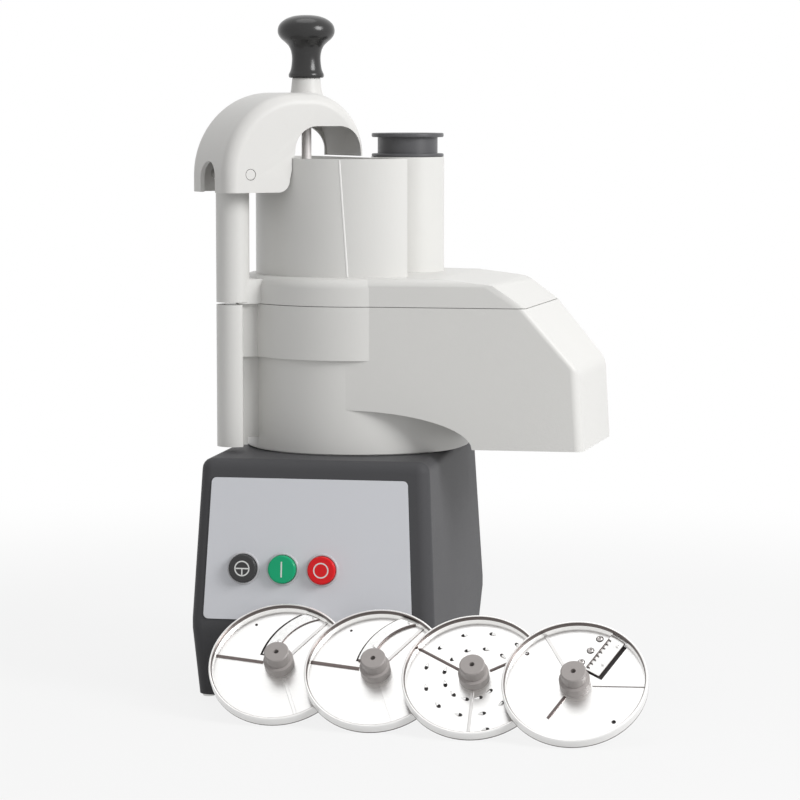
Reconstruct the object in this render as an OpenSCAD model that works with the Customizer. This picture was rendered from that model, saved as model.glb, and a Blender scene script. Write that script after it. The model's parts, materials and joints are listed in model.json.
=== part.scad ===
// Combination vegetable cutter: motor base, bowl with discharge chute, feed lid,
// pusher arm and a set of four loose cutting discs that lean against the base.
// Millimetres. The origin is on the drive axis at worktop level, +Z up, front towards -Y.

/* [Motor base] */
// Width of the housing at its belt line
base_w = 197; // [180:1:230]
// Depth of the housing at its belt line
base_d = 270; // [250:1:310]
// Height of the flat top above the worktop
base_h = 195; // [188:1:215]
// Height of the belt line above the worktop
belt_h = 63; // [50:1:75]
// How far the middle of the housing lies left of the drive axis
base_left = 11.5; // [0:0.5:16]
// How far the middle of the housing lies in front of the drive axis
base_front = 5; // [0:0.5:20]
// Draw-in of each side wall from the belt to the top
side_lean = 6; // [2:0.5:10]
// Draw-in of the front and rear walls from the belt to the top
front_lean = 12; // [6:0.5:18]
// Draw-in of each side wall from the belt to the bottom
side_tuck = 3.5; // [1:0.5:8]
// Draw-in of the front wall from the belt to the bottom
front_tuck = 9; // [2:0.5:14]
// Draw-in of the rear wall from the belt to the bottom
rear_tuck = 18; // [4:0.5:24]
// Radius of the upright corners
corner_r = 10; // [9.5:0.5:16]
// Radius of the top edges
top_edge_r = 9; // [4:0.5:9]
// Wall of the housing
base_wall = 3.5; // [2.5:0.1:5]
// Height of the rubber feet
foot_h = 4.5; // [3:0.5:8]
// Diameter of a rubber foot
foot_d = 24; // [16:1:30]
// Thickness of the bottom plate
plate_t = 3; // [2:0.5:5]

/* [Control panel] */
// Width of the panel at its foot
panel_foot_w = 169; // [150:1:175]
// Width of the panel at its head
panel_head_w = 159; // [140:1:165]
// Height of the panel along the sloping front
panel_h = 113; // [100:1:116]
// Thickness of the panel sheet
panel_t = 1; // [0.6:0.1:2]
// Corner radius of the panel
panel_r = 4; // [2:0.5:8]
// Diameter of a push button
button_d = 22.5; // [18:0.5:26]
// Distance between neighbouring buttons
button_pitch = 32; // [30:0.5:40]
// Place of the middle button left of the drive axis
button_left = 34.6; // [28:0.2:40]
// Height of the buttons above the foot of the panel
button_up = 41; // [30:1:70]
// How far a button stands out of the panel
button_out = 6; // [5:0.5:9]
// Travel of a button
button_travel = 3; // [2:0.5:4]
// Width of the ring round a button
ring_w = 1.6; // [1:0.1:2.5]

/* [Motor] */
// Outer diameter of the stator stack
stator_d = 126; // [116:1:132]
// Height of the stator stack
stack_h = 60; // [50:1:66]
// Bore of the stator
stator_bore = 66; // [60:1:70]
// Air gap between rotor and stator
air_gap = 0.6; // [0.4:0.1:1]
// Height of each winding head
winding_h = 18; // [14:1:20]
// Outer diameter of the bearings
bearing_d = 40; // [35:1:44]
// Width of the bearings
bearing_w = 12; // [10:1:14]
// Shaft diameter at the bearings
journal_d = 17; // [15:1:18]
// Shaft diameter inside the rotor
rotor_seat_d = 20; // [19:1:24]
// Shaft diameter of the drive end
drive_d = 10; // [9:0.5:11]
// Top of the drive end above the chamber floor
drive_up = 47; // [44:1:48]

/* [Bowl and chute] */
// Outer radius of the bowl
bowl_r = 92; // [90:0.5:98]
// Wall of the bowl, chute and lid
bowl_wall = 4; // [3:0.2:5]
// Radius of the collar under the lid
collar_r = 95.5; // [95:0.5:103]
// Height of the lower edge of the collar above the base
collar_up = 77; // [70:1:86]
// Height of the bowl from the base to the lid seam
bowl_h = 120; // [112:1:130]
// Height of the chamber floor above the base
floor_up = 37; // [33:1:41]
// Inset of the skirt under the bowl
skirt_in = 3; // [2:0.5:6]
// Reach of the chute from the drive axis
chute_x = 199; // [180:1:215]
// Place of the rear edge of the chute end behind the drive axis
chute_back = 34; // [20:1:50]
// Turn of the chute end about its front edge, seen from above
end_turn = 4; // [0:0.5:6]
// Height of the chute mouth above the base
chute_up = 7; // [5:0.5:12]
// Reach of the chute at its knee
knee_x = 195; // [178:1:212]
// Height of the chute knee above the base
knee_up = 72; // [60:1:84]
// Reach of the chute at the lid seam
slant_x = 153; // [140:1:165]
// Place of the foot of the arch under the chute, right of the drive axis
arch_x = 110; // [104:1:116]
// Rise of the arch above the chute mouth
arch_up = 30; // [24:1:33]

/* [Lid and hoppers] */
// Gap of the lid seam
seam_gap = 0.5; // [0.3:0.1:1.5]
// Height of the lid above the seam
lid_h = 23; // [18:1:28]
// Radius of the lid shoulder
shoulder_r = 8; // [4:0.5:12]
// Reach of the flat lid roof over the chute
roof_x = 126; // [110:1:132]
// Height of the hoppers above the lid
hopper_h = 95; // [80:1:110]
// Turn of the head plane about the drive axis
head_turn = 39; // [30:1:50]
// Outer radius of the half-moon hopper
hopper_r = 84.5; // [78:0.5:85]
// Wall of the half-moon hopper
hopper_wall = 3.5; // [2.5:0.1:4.5]
// Outer diameter of the round hopper
tube_d = 61; // [56:0.5:64]
// Bore of the round hopper
tube_bore = 56; // [50:0.5:56]
// Distance of the round hopper from the drive axis
tube_out = 47; // [44:0.5:52]
// Distance of the guide column from the drive axis
column_out = 115; // [113:0.5:120]
// Diameter of the column
column_d = 27; // [24:0.5:30]
// Bore of the column
column_bore = 14.6; // [12:0.1:16]
// Depth of the column top below the hopper rims
column_down = 22; // [16:1:26]

/* [Pusher arm] */
// Width of the arm
arm_w = 68; // [60:1:76]
// Wall of the arm shell
arm_wall = 3.5; // [2.5:0.1:4.5]
// Height of the arm above the hopper rims
arm_rise = 53; // [48:1:60]
// Depth of the arm leg below the hopper rims
leg_drop = 27; // [20:1:32]
// Radius of the outer arc over the leg
back_arc_r = 67; // [62:1:72]
// Radius of the arc over the hopper
front_arc_r = 50; // [44:1:52]
// Length of the flat between the two arcs
arm_flat = 10; // [4:1:16]
// Reach of the arm beyond the column
arm_behind = 22; // [20:1:28]
// Width of the leg
leg_w = 57; // [52:1:58]
// Height of the window above the hopper rims
window_h = 26; // [18:1:32]
// Corner radius of the window
window_r = 20; // [8:1:22]
// Radius of the arm edges
arm_edge_r = 7; // [3:0.5:9]
// Diameter of the cross pin
pin_d = 8.4; // [6:0.2:10]
// Distance of the knob from the drive axis
knob_back = 47.6; // [42:0.2:54]
// Height of the neck under the knob
neck_h = 12; // [8:1:18]
// Height of the knob
knob_h = 51; // [44:1:58]
// Largest radius of the knob
knob_r = 23.4; // [20:0.2:27]
// Diameter of the pusher stem
stem_d = 8; // [6:0.5:9]
// Play of a pusher in its hopper
pusher_play = 0.6; // [0.4:0.1:1.2]
// Thickness of the half-moon pusher foot
pusher_t = 16; // [10:1:20]

/* [Discs] */
// Diameter of a cutting disc
disc_d = 111; // [104:1:122]
// Height of the disc rim above its plate
rim_up = 6; // [4:0.5:7]
// Width of the rolled disc rim
rim_w = 2.4; // [1.6:0.1:3]
// Thickness of the disc plate
sheet_t = 1.2; // [1:0.1:1.6]
// Thickness of a disc blade
blade_t = 1; // [0.8:0.1:1.4]
// Lean of the discs from the worktop
disc_lean = 44; // [38:1:50]
// Distance between neighbouring discs along the row
disc_pitch = 79; // [76:1:100]
// Middle of the row of discs right of the drive axis
row_x = 91; // [70:1:110]
// Larger diameter of a disc hub
hub_d = 23.5; // [22:0.5:26]
// Height of a disc hub above its plate
hub_h = 18; // [16:1:22]

/* [Fits] */
// Gap between pieces that move past each other
slip = 0.3; // [0.2:0.05:0.5]
// Gap of a running or assembled round fit
fit = 0.05; // [0.02:0.01:0.08]

/* [Hidden] */
$fn = 96;
tiny = 0.01;

// Heights of the main joints of the assembly
floor_z = base_h + floor_up;
collar_z = base_h + collar_up;
seam_z = base_h + bowl_h;
lid_z = seam_z + seam_gap;
lid_top = seam_z + lid_h;
rim_z = lid_top + hopper_h;
chute_z = base_h + chute_up;
knee_z = base_h + knee_up;
skirt_r = bowl_r - skirt_in;
rebate_h = 1.2;

// Housing
base_in = base_h - base_wall;
belt_band = 8;
lip_h = 1;
plate_top = foot_h + plate_t;
front_y = -base_d / 2 - base_front;
belt_top = belt_h + belt_band / 2;
// Slope of the flat front between the belt and the rounded top edge
edge_rise = base_h - top_edge_r - belt_top;
edge_back = front_lean + top_edge_r;
front_tilt = atan2(edge_back, edge_rise) - asin(top_edge_r / norm([edge_back, edge_rise]));
panel_up = 1;
panel_x = -base_left - 3;

// Motor stack, hung from the top of the housing
bell_end = bearing_w + 2;
bell_h = winding_h + 6 + bell_end;
stator_top = base_in - bell_h;
stator_z = stator_top - stack_h;
low_bell_z = stator_z - bell_h;
winding_d = stator_d - 24;
winding_bore = stator_bore + 6;
bolt_d = 5;
bolt_ring = stator_d / 2 - 6;
fan_h = 10;
fan_z = low_bell_z - fan_h - 4;
shaft_z = fan_z - 3;
seal_d = 36;
seal_h = 8;
tube_boss_d = seal_d + 10;
boss_top = floor_z + 9;
drive_top = floor_z + drive_up;
drive_z = boss_top + 1;
flat_depth = 1.2;

// Buttons, measured inwards from the panel face
cap_in = panel_t + base_wall;
flange_t = 1.6;
button_end = cap_in + flange_t + slip + 4;
block_at = button_end + button_travel + 0.6;
ring_h = 1.6;

// Arm
arm_z = rim_z + 1.6;
leg_z = rim_z - leg_drop;
arm_top = rim_z + arm_rise;
arm_back = -column_out - arm_behind;
back_arc_x = arm_back + back_arc_r;
front_arc_x = back_arc_x + arm_flat;
arm_front = front_arc_x + front_arc_r;
leg_front = arm_back + leg_w;
pin_z = leg_z + 14.6;
rod_d = column_bore - 2 * slip;
column_top = rim_z - column_down;
column_z = base_h + 4.5;
rod_z = column_z + 12;
magnet_h = 8;
neck_top = arm_top + neck_h;
pusher_z = seam_z - 5;
pusher_top = pusher_z + pusher_t;
rod_head_d = pin_d + 11;
stem_top = neck_top + knob_h * 0.6;

// Discs: a plate in a rolled rim, with a stepped hub
disc_r = disc_d / 2;
plate_z = 1.5;
plate_face = plate_z + sheet_t;
rim_h = plate_face + rim_up;
rest_z = disc_d * sin(disc_lean);
rest_y = front_y - panel_t + max(0, rest_z - belt_top) * tan(front_tilt);
disc_step = (rim_h + slip) / sin(disc_lean);
hub_seat_d = 0.72 * hub_d;
hub_top_d = 0.83 * hub_d;
hub_hole_d = 0.17 * hub_d;
hub_clear = hub_d / 2 + 1.5;
rib_w = 0.045 * disc_r;
rib_h = 0.8;
rib_end = disc_r - rim_w - 0.5;

// Shared shapes

function unit(v) = v / norm(v);

// Moves every edge of a counter-clockwise outline inwards by d
function inset_poly(p, d) = [
    for (i = [0 : len(p) - 1])
        let (
            n = len(p),
            u = unit(p[i] - p[(i + n - 1) % n]),
            v = unit(p[(i + 1) % n] - p[i]),
            a = [-u[1], u[0]],
            b = [-v[1], v[0]]
        )
        p[i] + (a + b) * d / (1 + a * b)
];

// Points of an arc from one angle to another
function arc(c, r, from, to, steps = 12) = [
    for (i = [0 : steps])
        let (t = from + (to - from) * i / steps)
        c + r * [cos(t), sin(t)]
];

module rounded_rect(w, d, r) {
    square([w - 2 * r, d], center = true);
    square([w, d - 2 * r], center = true);
    for (x = [-1, 1], y = [-1, 1])
        translate([x * (w / 2 - r), y * (d / 2 - r)])
            circle(r);
}

// A tube or ring standing on z
module ring(outer_d, inner_d, h) {
    difference() {
        cylinder(d = outer_d, h = h);
        translate([0, 0, -1])
            cylinder(d = inner_d, h = h + 2);
    }
}

// Extrudes an x-z outline from y = -w/2 to y = w/2
module side_extrude(w) {
    rotate([90, 0, 0])
        translate([0, 0, -w / 2])
            linear_extrude(w)
                children();
}

// The head plane: x runs from the guide column to the round hopper
module head() {
    rotate([0, 0, head_turn])
        children();
}

// The sloping front: x to the right, z up the slope, y into the housing
module on_front() {
    translate([0, front_y, belt_top])
        rotate([-front_tilt, 0, 0])
            children();
}

// A round piece along the inward normal of the panel at each given button
module at_button(i) {
    on_front()
        translate([-button_left + (i - 1) * button_pitch, -panel_t, panel_up + button_up])
            rotate([-90, 0, 0])
                children();
}

// Motor base

module housing_corner(sx, sy, in_x, in_front, in_rear) {
    translate([
        -base_left + sx * (base_w / 2 - corner_r - in_x),
        -base_front + sy * (base_d / 2 - corner_r - (sy < 0 ? in_front : in_rear)),
        0
    ])
        children();
}

// The moulded form, drawn in by the wall for its hollow
module housing_form(inset, bottom) {
    hull()
        for (sx = [-1, 1], sy = [-1, 1]) {
            housing_corner(sx, sy, side_tuck, front_tuck, rear_tuck)
                translate([0, 0, bottom])
                    cylinder(r = corner_r - inset, h = lip_h, $fn = 32);
            housing_corner(sx, sy, 0, 0, 0)
                translate([0, 0, belt_h - belt_band / 2])
                    cylinder(r = corner_r - inset, h = belt_band, $fn = 32);
            housing_corner(sx, sy, side_lean, front_lean, front_lean)
                for (a = [0 : 18 : 90])
                    translate([0, 0, base_h - inset - tiny - (top_edge_r - inset) * (1 - sin(a))])
                        cylinder(
                            r = corner_r - top_edge_r + (top_edge_r - inset) * cos(a) + tiny,
                            h = tiny, $fn = 32
                        );
        }
}

screw_boss_d = 12;
boss_h = 20;

// Places in the four lower corners, a given distance in from the bottom edge of the walls
module at_corners(in) {
    d = in - corner_r;
    for (sx = [-1, 1], sy = [-1, 1])
        housing_corner(sx, sy, side_tuck + d, front_tuck + d, rear_tuck + d)
            children();
}

// Screw bosses grow out of the middle of the wall
module at_bosses() {
    at_corners(base_wall / 2 + screw_boss_d / 2)
        children();
}

module at_feet() {
    at_corners(base_wall + screw_boss_d + foot_d / 2)
        children();
}

gland_up = 30;
gland_x = 40;
gland_bore = 16;
rear_rise = belt_h - belt_band / 2 - foot_h - lip_h;
rear_slope = atan2(rear_tuck, rear_rise);

// The inlet in the sloping lower rear wall: z along the outward normal
module at_gland() {
    translate([gland_x, base_d / 2 - base_front - rear_tuck, foot_h + lip_h])
        rotate([-rear_slope, 0, 0])
            translate([0, 0, gland_up])
                rotate([-90, 0, 0])
                    children();
}

module motor_housing() {
    color("dimgray")
        difference() {
            union() {
                difference() {
                    housing_form(0, foot_h);
                    housing_form(base_wall, foot_h - tiny);
                    translate([0, 0, foot_h - 5])
                        linear_extrude(5)
                            translate([-base_left, plate_y])
                                rounded_rect(plate_w + 2 * slip, plate_d + 2 * slip, corner_r - base_wall);
                }
                at_bosses()
                    translate([0, 0, plate_top])
                        cylinder(d = screw_boss_d, h = boss_h);
                on_front()
                    for (s = [-1, 1])
                        translate([
                            -button_left + s * (block_w / 2 - 6), base_wall - 1, panel_up + button_up
                        ])
                            rotate([-90, 0, 0])
                                cylinder(d = 8, h = block_at - panel_t - base_wall + 1);
            }
            translate([0, 0, base_in - 1])
                cylinder(d = journal_d + 14, h = base_wall + 2);
            for (i = [0 : 2])
                at_button(i)
                    cylinder(d = button_d + 2 * slip, h = cap_in + 1);
            at_gland()
                translate([0, 0, -base_wall - 2])
                    cylinder(d = gland_bore, h = base_wall + 4);
            at_bosses()
                translate([0, 0, plate_top - 1])
                    cylinder(d = screw_d + 2 * fit, h = boss_h - 4);
        }
}

screw_d = 5;
plate_w = base_w - 2 * side_tuck - 2 * base_wall - 2 * slip;
plate_d = base_d - front_tuck - rear_tuck - 2 * base_wall - 2 * slip;
plate_y = -base_front + (front_tuck - rear_tuck) / 2;
vent_n = 6;
vent_l = 60;

module base_plate() {
    color("gray")
        difference() {
            union() {
                translate([-base_left, plate_y, foot_h])
                    linear_extrude(plate_t)
                        rounded_rect(plate_w, plate_d, corner_r - base_wall);
                at_feet()
                    translate([0, 0, foot_h])
                        cylinder(d = screw_head_d + 2, h = plate_t + nut_h);
            }
            at_bosses()
                translate([0, 0, foot_h - 1])
                    cylinder(d = screw_d + 2 * fit, h = plate_t + 2);
            at_feet()
                translate([0, 0, foot_h - 1])
                    cylinder(d = screw_d + 2 * fit, h = plate_t + nut_h + 2);
            for (i = [0 : vent_n - 1])
                translate([-vent_l / 2, (i - (vent_n - 1) / 2) * 12 - 2.5, foot_h - 1])
                    cube([vent_l, 5, plate_t + 2]);
        }
}

screw_head_d = 10;
screw_head_h = 2;
nut_h = 5;

module rubber_feet() {
    color("black")
        at_feet()
            rotate_extrude()
                polygon([
                    [screw_d / 2 + fit, screw_head_h + 0.5], [screw_head_d / 2 + 0.5, screw_head_h + 0.5],
                    [screw_head_d / 2 + 0.5, 0], [foot_d / 2 - 2.5, 0], [foot_d / 2 - 1.5, 1],
                    [foot_d / 2, foot_h], [screw_d / 2 + fit, foot_h]
                ]);
}

module foot_screws() {
    color("silver")
        at_feet()
            translate([0, 0, 0.5]) {
                cylinder(d = screw_head_d, h = screw_head_h);
                cylinder(d = screw_d, h = plate_top + nut_h);
            }
}

module housing_screws() {
    color("silver")
        at_bosses()
            translate([0, 0, foot_h - screw_head_h]) {
                cylinder(d = screw_head_d, h = screw_head_h);
                cylinder(d = screw_d, h = screw_head_h + plate_t + boss_h - 6);
            }
}

module panel_outline() {
    foot = panel_foot_w / 2 - panel_r;
    top = panel_head_w / 2 - panel_r;
    lean = atan2(foot - top, panel_h - 2 * panel_r);
    polygon(concat(
        arc([-foot, panel_r], panel_r, 180 - lean, 270, 6),
        arc([foot, panel_r], panel_r, -90, lean, 6),
        arc([top, panel_h - panel_r], panel_r, lean, 90, 6),
        arc([-top, panel_h - panel_r], panel_r, 90, 180 - lean, 6)
    ));
}

module control_panel() {
    color("lightsteelblue")
        difference() {
            on_front()
                translate([panel_x, 0, panel_up])
                    rotate([90, 0, 0])
                        linear_extrude(panel_t)
                            panel_outline();
            for (i = [0 : 2])
                at_button(i)
                    translate([0, 0, -1])
                        cylinder(d = button_d + 2 * slip, h = panel_t + 2);
        }
}

module button_rings() {
    color("gainsboro")
        for (i = [0 : 2])
            at_button(i)
                rotate([180, 0, 0])
                    rotate_extrude() {
                        inner = button_d / 2 + slip;
                        polygon([
                            [inner, 0], [inner + ring_w, 0], [inner + ring_w, ring_h - 0.6],
                            [inner + ring_w - 0.6, ring_h], [inner, ring_h]
                        ]);
                    }
}

// Cap, retaining flange behind the wall, and the stem that presses the switch
module push_button() {
    rotate_extrude()
        polygon(concat(
            [[0, -button_out]],
            arc([button_d / 2 - 1.5, -button_out + 1.5], 1.5, -90, 0, 5),
            [
                [button_d / 2, cap_in + slip], [button_d / 2 + 1.6, cap_in + slip],
                [button_d / 2 + 1.6, cap_in + slip + flange_t], [4, cap_in + slip + flange_t],
                [4, button_end], [0, button_end]
            ]
        ));
}

module pulse_button() {
    color("black")
        at_button(0)
            push_button();
}

module start_button() {
    color("green")
        at_button(1)
            push_button();
}

module stop_button() {
    color("red")
        at_button(2)
            push_button();
}

block_w = 3 * button_pitch + 20;
block_d = 24;

module switch_block() {
    color("white")
        on_front()
            translate([-button_left - block_w / 2, block_at - panel_t, panel_up + button_up - 14])
                cube([block_w, block_d, 28]);
}

board_w = 90;
board_d = 60;
board_t = 1.6;
board_in = 12;
post_d = 7;
post_h = 6;
post_in = 6;
relay = [19, 16, 16];
relay_at = [14, 20];
relay_pitch = 26;
terminal = [14, 28, 12];
terminal_at = [66, 18];

module control_board() {
    color("seagreen")
        translate([-base_left - board_w / 2, plate_y - plate_d / 2 + board_in, plate_top]) {
            for (x = [post_in, board_w - post_in], y = [post_in, board_d - post_in])
                translate([x, y, 0])
                    cylinder(d = post_d, h = post_h);
            translate([0, 0, post_h])
                cube([board_w, board_d, board_t]);
            for (i = [0, 1])
                translate([relay_at[0] + i * relay_pitch, relay_at[1], post_h])
                    cube(relay);
            translate([terminal_at[0], terminal_at[1], post_h])
                cube(terminal);
        }
}

capacitor_d = 38;
capacitor_h = 80;
capacitor_side = 36;
capacitor_in = 6;
tab = [2, 6, 8];
tab_pitch = 12;

module run_capacitor() {
    rear = plate_y + plate_d / 2;
    color("whitesmoke")
        translate([-base_left - capacitor_side, rear - capacitor_d / 2 - capacitor_in, plate_top]) {
            cylinder(d = capacitor_d, h = capacitor_h);
            for (s = [-1, 1])
                translate([s * tab_pitch / 2 - tab[0] / 2, -tab[1] / 2, capacitor_h - 1])
                    cube(tab);
        }
}

reed_h = 12;
reed_w = 16;
reed_in = 9;

module reed_switch() {
    color("black")
        head()
            translate([reed_in - column_out, 0, base_in - reed_h])
                linear_extrude(reed_h)
                    rounded_rect(reed_w, reed_w * 3 / 4, 3);
}

gland_in = 6;
gland_rim_t = 4;
gland_cone_h = 7;

module cord_gland() {
    color("black")
        at_gland()
            difference() {
                union() {
                    translate([0, 0, -base_wall - gland_in])
                        cylinder(d = gland_bore - 2 * slip, h = base_wall + gland_in + 1);
                    translate([0, 0, 2 * slip])
                        cylinder(d = gland_bore + 8, h = gland_rim_t);
                    translate([0, 0, gland_rim_t])
                        cylinder(d1 = gland_bore + 4, d2 = gland_bore - 4, h = gland_cone_h);
                }
                translate([0, 0, -base_wall - gland_in - 1])
                    cylinder(d = gland_bore / 2, h = base_wall + gland_in + gland_rim_t + gland_cone_h + 2);
            }
}

// Motor

module at_bolts() {
    for (a = [45 : 90 : 315])
        rotate([0, 0, a])
            translate([bolt_ring, 0, 0])
                children();
}

// A cup-shaped end shield with the bearing seat in its floor, open upwards
module end_bell() {
    difference() {
        cylinder(d = stator_d, h = bell_h);
        translate([0, 0, bell_end])
            cylinder(d = winding_d + 4, h = bell_h);
        translate([0, 0, 2])
            cylinder(d = bearing_d + 2 * fit, h = bell_h);
        translate([0, 0, -1])
            cylinder(d = journal_d + 8, h = bell_h);
        for (a = [0 : 30 : 330])
            rotate([0, 0, a + 15])
                translate([bearing_d / 2 + 12, 0, -1])
                    cylinder(d = 9, h = bell_end + 2);
        at_bolts()
            translate([0, 0, -1])
                cylinder(d = bolt_d + 2 * fit, h = bell_h + 2);
    }
}

module upper_end_bell() {
    color("silver")
        translate([0, 0, base_in])
            mirror([0, 0, 1])
                end_bell();
}

module lower_end_bell() {
    color("silver")
        translate([0, 0, low_bell_z])
            end_bell();
}

slots = 24;

module stator_core() {
    color("slategray")
        translate([0, 0, stator_z])
            difference() {
                ring(stator_d, stator_bore, stack_h);
                for (i = [0 : slots - 1])
                    rotate([0, 0, i * 360 / slots])
                        translate([stator_bore / 2 - 1, -1.5, -1])
                            cube([14, 3, stack_h + 2]);
                at_bolts()
                    translate([0, 0, -1])
                        cylinder(d = bolt_d + 2 * fit, h = stack_h + 2);
            }
}

module stator_windings() {
    color("peru")
        for (z = [stator_z - winding_h, stator_top])
            translate([0, 0, z])
                rotate_extrude()
                    translate([(winding_d + winding_bore) / 4, winding_h / 2])
                        rounded_rect((winding_d - winding_bore) / 2, winding_h, 5);
}

module motor_bolts() {
    color("gray")
        at_bolts() {
            translate([0, 0, low_bell_z - 4])
                cylinder(d = 9, h = 4);
            translate([0, 0, low_bell_z - 1])
                cylinder(d = bolt_d, h = base_in - low_bell_z);
        }
}

// Inner and outer race with a shallow groove over the balls on both faces
module bearing() {
    middle = (bearing_d + journal_d) / 4;
    rotate_extrude()
        difference() {
            translate([journal_d / 2 + fit, 0])
                square([(bearing_d - journal_d) / 2 - fit, bearing_w]);
            for (z = [0, bearing_w])
                translate([middle - 2.5, z - 1])
                    square([5, 2]);
        }
}

module upper_bearing() {
    color("lightgray")
        translate([0, 0, base_in - bell_end])
            bearing();
}

module lower_bearing() {
    color("lightgray")
        translate([0, 0, low_bell_z + 2])
            bearing();
}

module shaft_seal() {
    color("black")
        translate([0, 0, boss_top - seal_h])
            ring(seal_d - 2 * fit, journal_d + 4 * fit, seal_h);
}

module rotor_core() {
    color("lightslategray")
        translate([0, 0, stator_z]) {
            ring(stator_bore - 2 * air_gap, rotor_seat_d + 2 * fit, stack_h);
            for (z = [-5, stack_h])
                translate([0, 0, z])
                    ring(stator_bore - 2 * air_gap - 4, rotor_seat_d + 14, 5);
        }
}

module motor_shaft() {
    color("silver")
        difference() {
            rotate_extrude()
                polygon([
                    [0, shaft_z], [journal_d / 2, shaft_z], [journal_d / 2, stator_z - 8],
                    [rotor_seat_d / 2, stator_z - 8], [rotor_seat_d / 2, stator_top + 6],
                    [journal_d / 2, stator_top + 6], [journal_d / 2, drive_z], [drive_d / 2, drive_z],
                    [drive_d / 2, drive_top - 1.5], [drive_d / 2 - 1.5, drive_top], [0, drive_top]
                ]);
            for (s = [0, 180])
                rotate([0, 0, s])
                    translate([drive_d / 2 - flat_depth, -drive_d, ejector_z + flat_from])
                        cube([drive_d, 2 * drive_d, ejector_hub_h - flat_from + 1]);
        }
}

fan_blades = 10;

module cooling_fan() {
    color("dimgray")
        translate([0, 0, fan_z]) {
            ring(journal_d + 16, journal_d + 2 * fit, fan_h);
            translate([0, 0, fan_h - 2])
                ring(stator_d - 14, journal_d + 10, 2);
            for (i = [0 : fan_blades - 1])
                rotate([0, 0, i * 360 / fan_blades])
                    translate([journal_d / 2 + 6, -1, 0])
                        cube([stator_d / 2 - journal_d / 2 - 14, 2, fan_h - 1]);
        }
}

ejector_r = bowl_r - bowl_wall - 3;
ejector_gap = 1;
ejector_z = drive_z + ejector_gap;
ejector_hub_h = 24;
vane_h = 16;

flat_from = 5;
lug_w = 5;
lug_h = 2;

// Two flats inside the bore carry the drive
module flatted_bore(h) {
    intersection() {
        cylinder(d = drive_d + 2 * fit, h = h);
        translate([-drive_d / 2 + flat_depth - fit, -drive_d, -1])
            cube([drive_d - 2 * flat_depth + 2 * fit, 2 * drive_d, h + 2]);
    }
}

module ejector_plate() {
    color("white")
        translate([0, 0, ejector_z])
            difference() {
                union() {
                    cylinder(r = ejector_r, h = 3);
                    translate([0, 0, 3])
                        ring(2 * ejector_r, 2 * ejector_r - 4, 2);
                    cylinder(d = drive_d + 22, h = ejector_hub_h);
                    translate([-hub_seat_d / 2 + 1, -lug_w / 2, ejector_hub_h - 1])
                        cube([hub_seat_d - 2, lug_w, lug_h + 1]);
                    for (a = [0, 180])
                        rotate([0, 0, a])
                            intersection() {
                                translate([0, ejector_r / 2, 2])
                                    ring(ejector_r + 4, ejector_r - 2, vane_h);
                                translate([0, 0, 2])
                                    cube([ejector_r, ejector_r - 1, vane_h]);
                            }
                }
                translate([0, 0, flat_from])
                    flatted_bore(ejector_hub_h - flat_from + 0.5);
                translate([0, 0, -1])
                    cylinder(d = drive_d + 2 * fit, h = flat_from + 1.5);
                translate([0, 0, ejector_hub_h])
                    cylinder(d = drive_d + 2 * fit, h = lug_h + 2);
            }
}

// Bowl with discharge chute

// The flat walls start this far inside the round one, so that they blend out of it
blend_in = 0.3;
flat_r = bowl_r - blend_in;
chute_angle = atan2(chute_back, chute_x) + acos(flat_r / norm([chute_x, chute_back]));

function slant_at(z) = knee_x - (knee_x - slant_x) * (z - knee_z) / (seam_z - knee_z);
function end_at(z) = knee_x + (chute_x - knee_x) * (knee_z - z) / (knee_z - chute_z);

// Plan of the chute: front wall and rear wall both run off the bowl as tangents
module chute_plan(inset, reach) {
    r = flat_r - inset;
    x = reach - inset;
    y = (r - cos(chute_angle) * x) / sin(chute_angle);
    polygon([[0, -r], [x, -r], [x, y], r * [cos(chute_angle), sin(chute_angle)], [0, 0]]);
}

// Turns the end of the chute and of its roof about the front edge
module turned_end() {
    translate([chute_x, -flat_r, 0])
        rotate([0, 0, -end_turn])
            translate([-chute_x, flat_r, 0])
                children();
}

end_room = 20;

// Front view of the chute below the lid seam, as an x-z outline
function chute_front(bottom, top) = [
    [-end_room, bottom], [end_at(bottom), bottom], [knee_x, knee_z], [slant_at(top), top],
    [-end_room, top]
];

arch_mid = 5;
arch_sink = 10;

// Half-oval arch under the chute, grown by the wall for the floor of the hollow
module arch_form(grow) {
    run = arch_x - arch_mid + grow;
    side_extrude(6 * bowl_r)
        polygon(concat(
            [[arch_mid - run, chute_z - arch_sink], [arch_mid + run, chute_z - arch_sink]],
            [
                for (t = [0 : 7.5 : 180])
                    [arch_mid + run * cos(t), chute_z + (arch_up + grow) * sin(t)]
            ]
        ));
}

module chute_solid() {
    difference() {
        intersection() {
            translate([0, 0, chute_z])
                linear_extrude(seam_z - chute_z)
                    chute_plan(0, chute_x + end_room);
            turned_end()
                side_extrude(4 * bowl_r)
                    polygon(chute_front(chute_z - 2 * bowl_wall, seam_z + 2 * bowl_wall));
        }
        arch_form(0);
    }
}

module chute_hollow() {
    difference() {
        intersection() {
            translate([0, 0, chute_z - 5])
                linear_extrude(seam_z - chute_z + 10)
                    chute_plan(bowl_wall, chute_x + end_room);
            turned_end()
                side_extrude(4 * bowl_r)
                    polygon(inset_poly(
                        chute_front(chute_z - 2 * bowl_wall, seam_z + 2 * bowl_wall), bowl_wall
                    ));
        }
        arch_form(bowl_wall);
    }
}

// Straight-sided bridge and web that join the guide column to the round body
module column_bridge(r, z, h, w) {
    head()
        translate([-column_out, -w / 2, z])
            cube([column_out - r + bowl_wall, w, h]);
}

web_t = 9;
bridge_in = 2;

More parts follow.
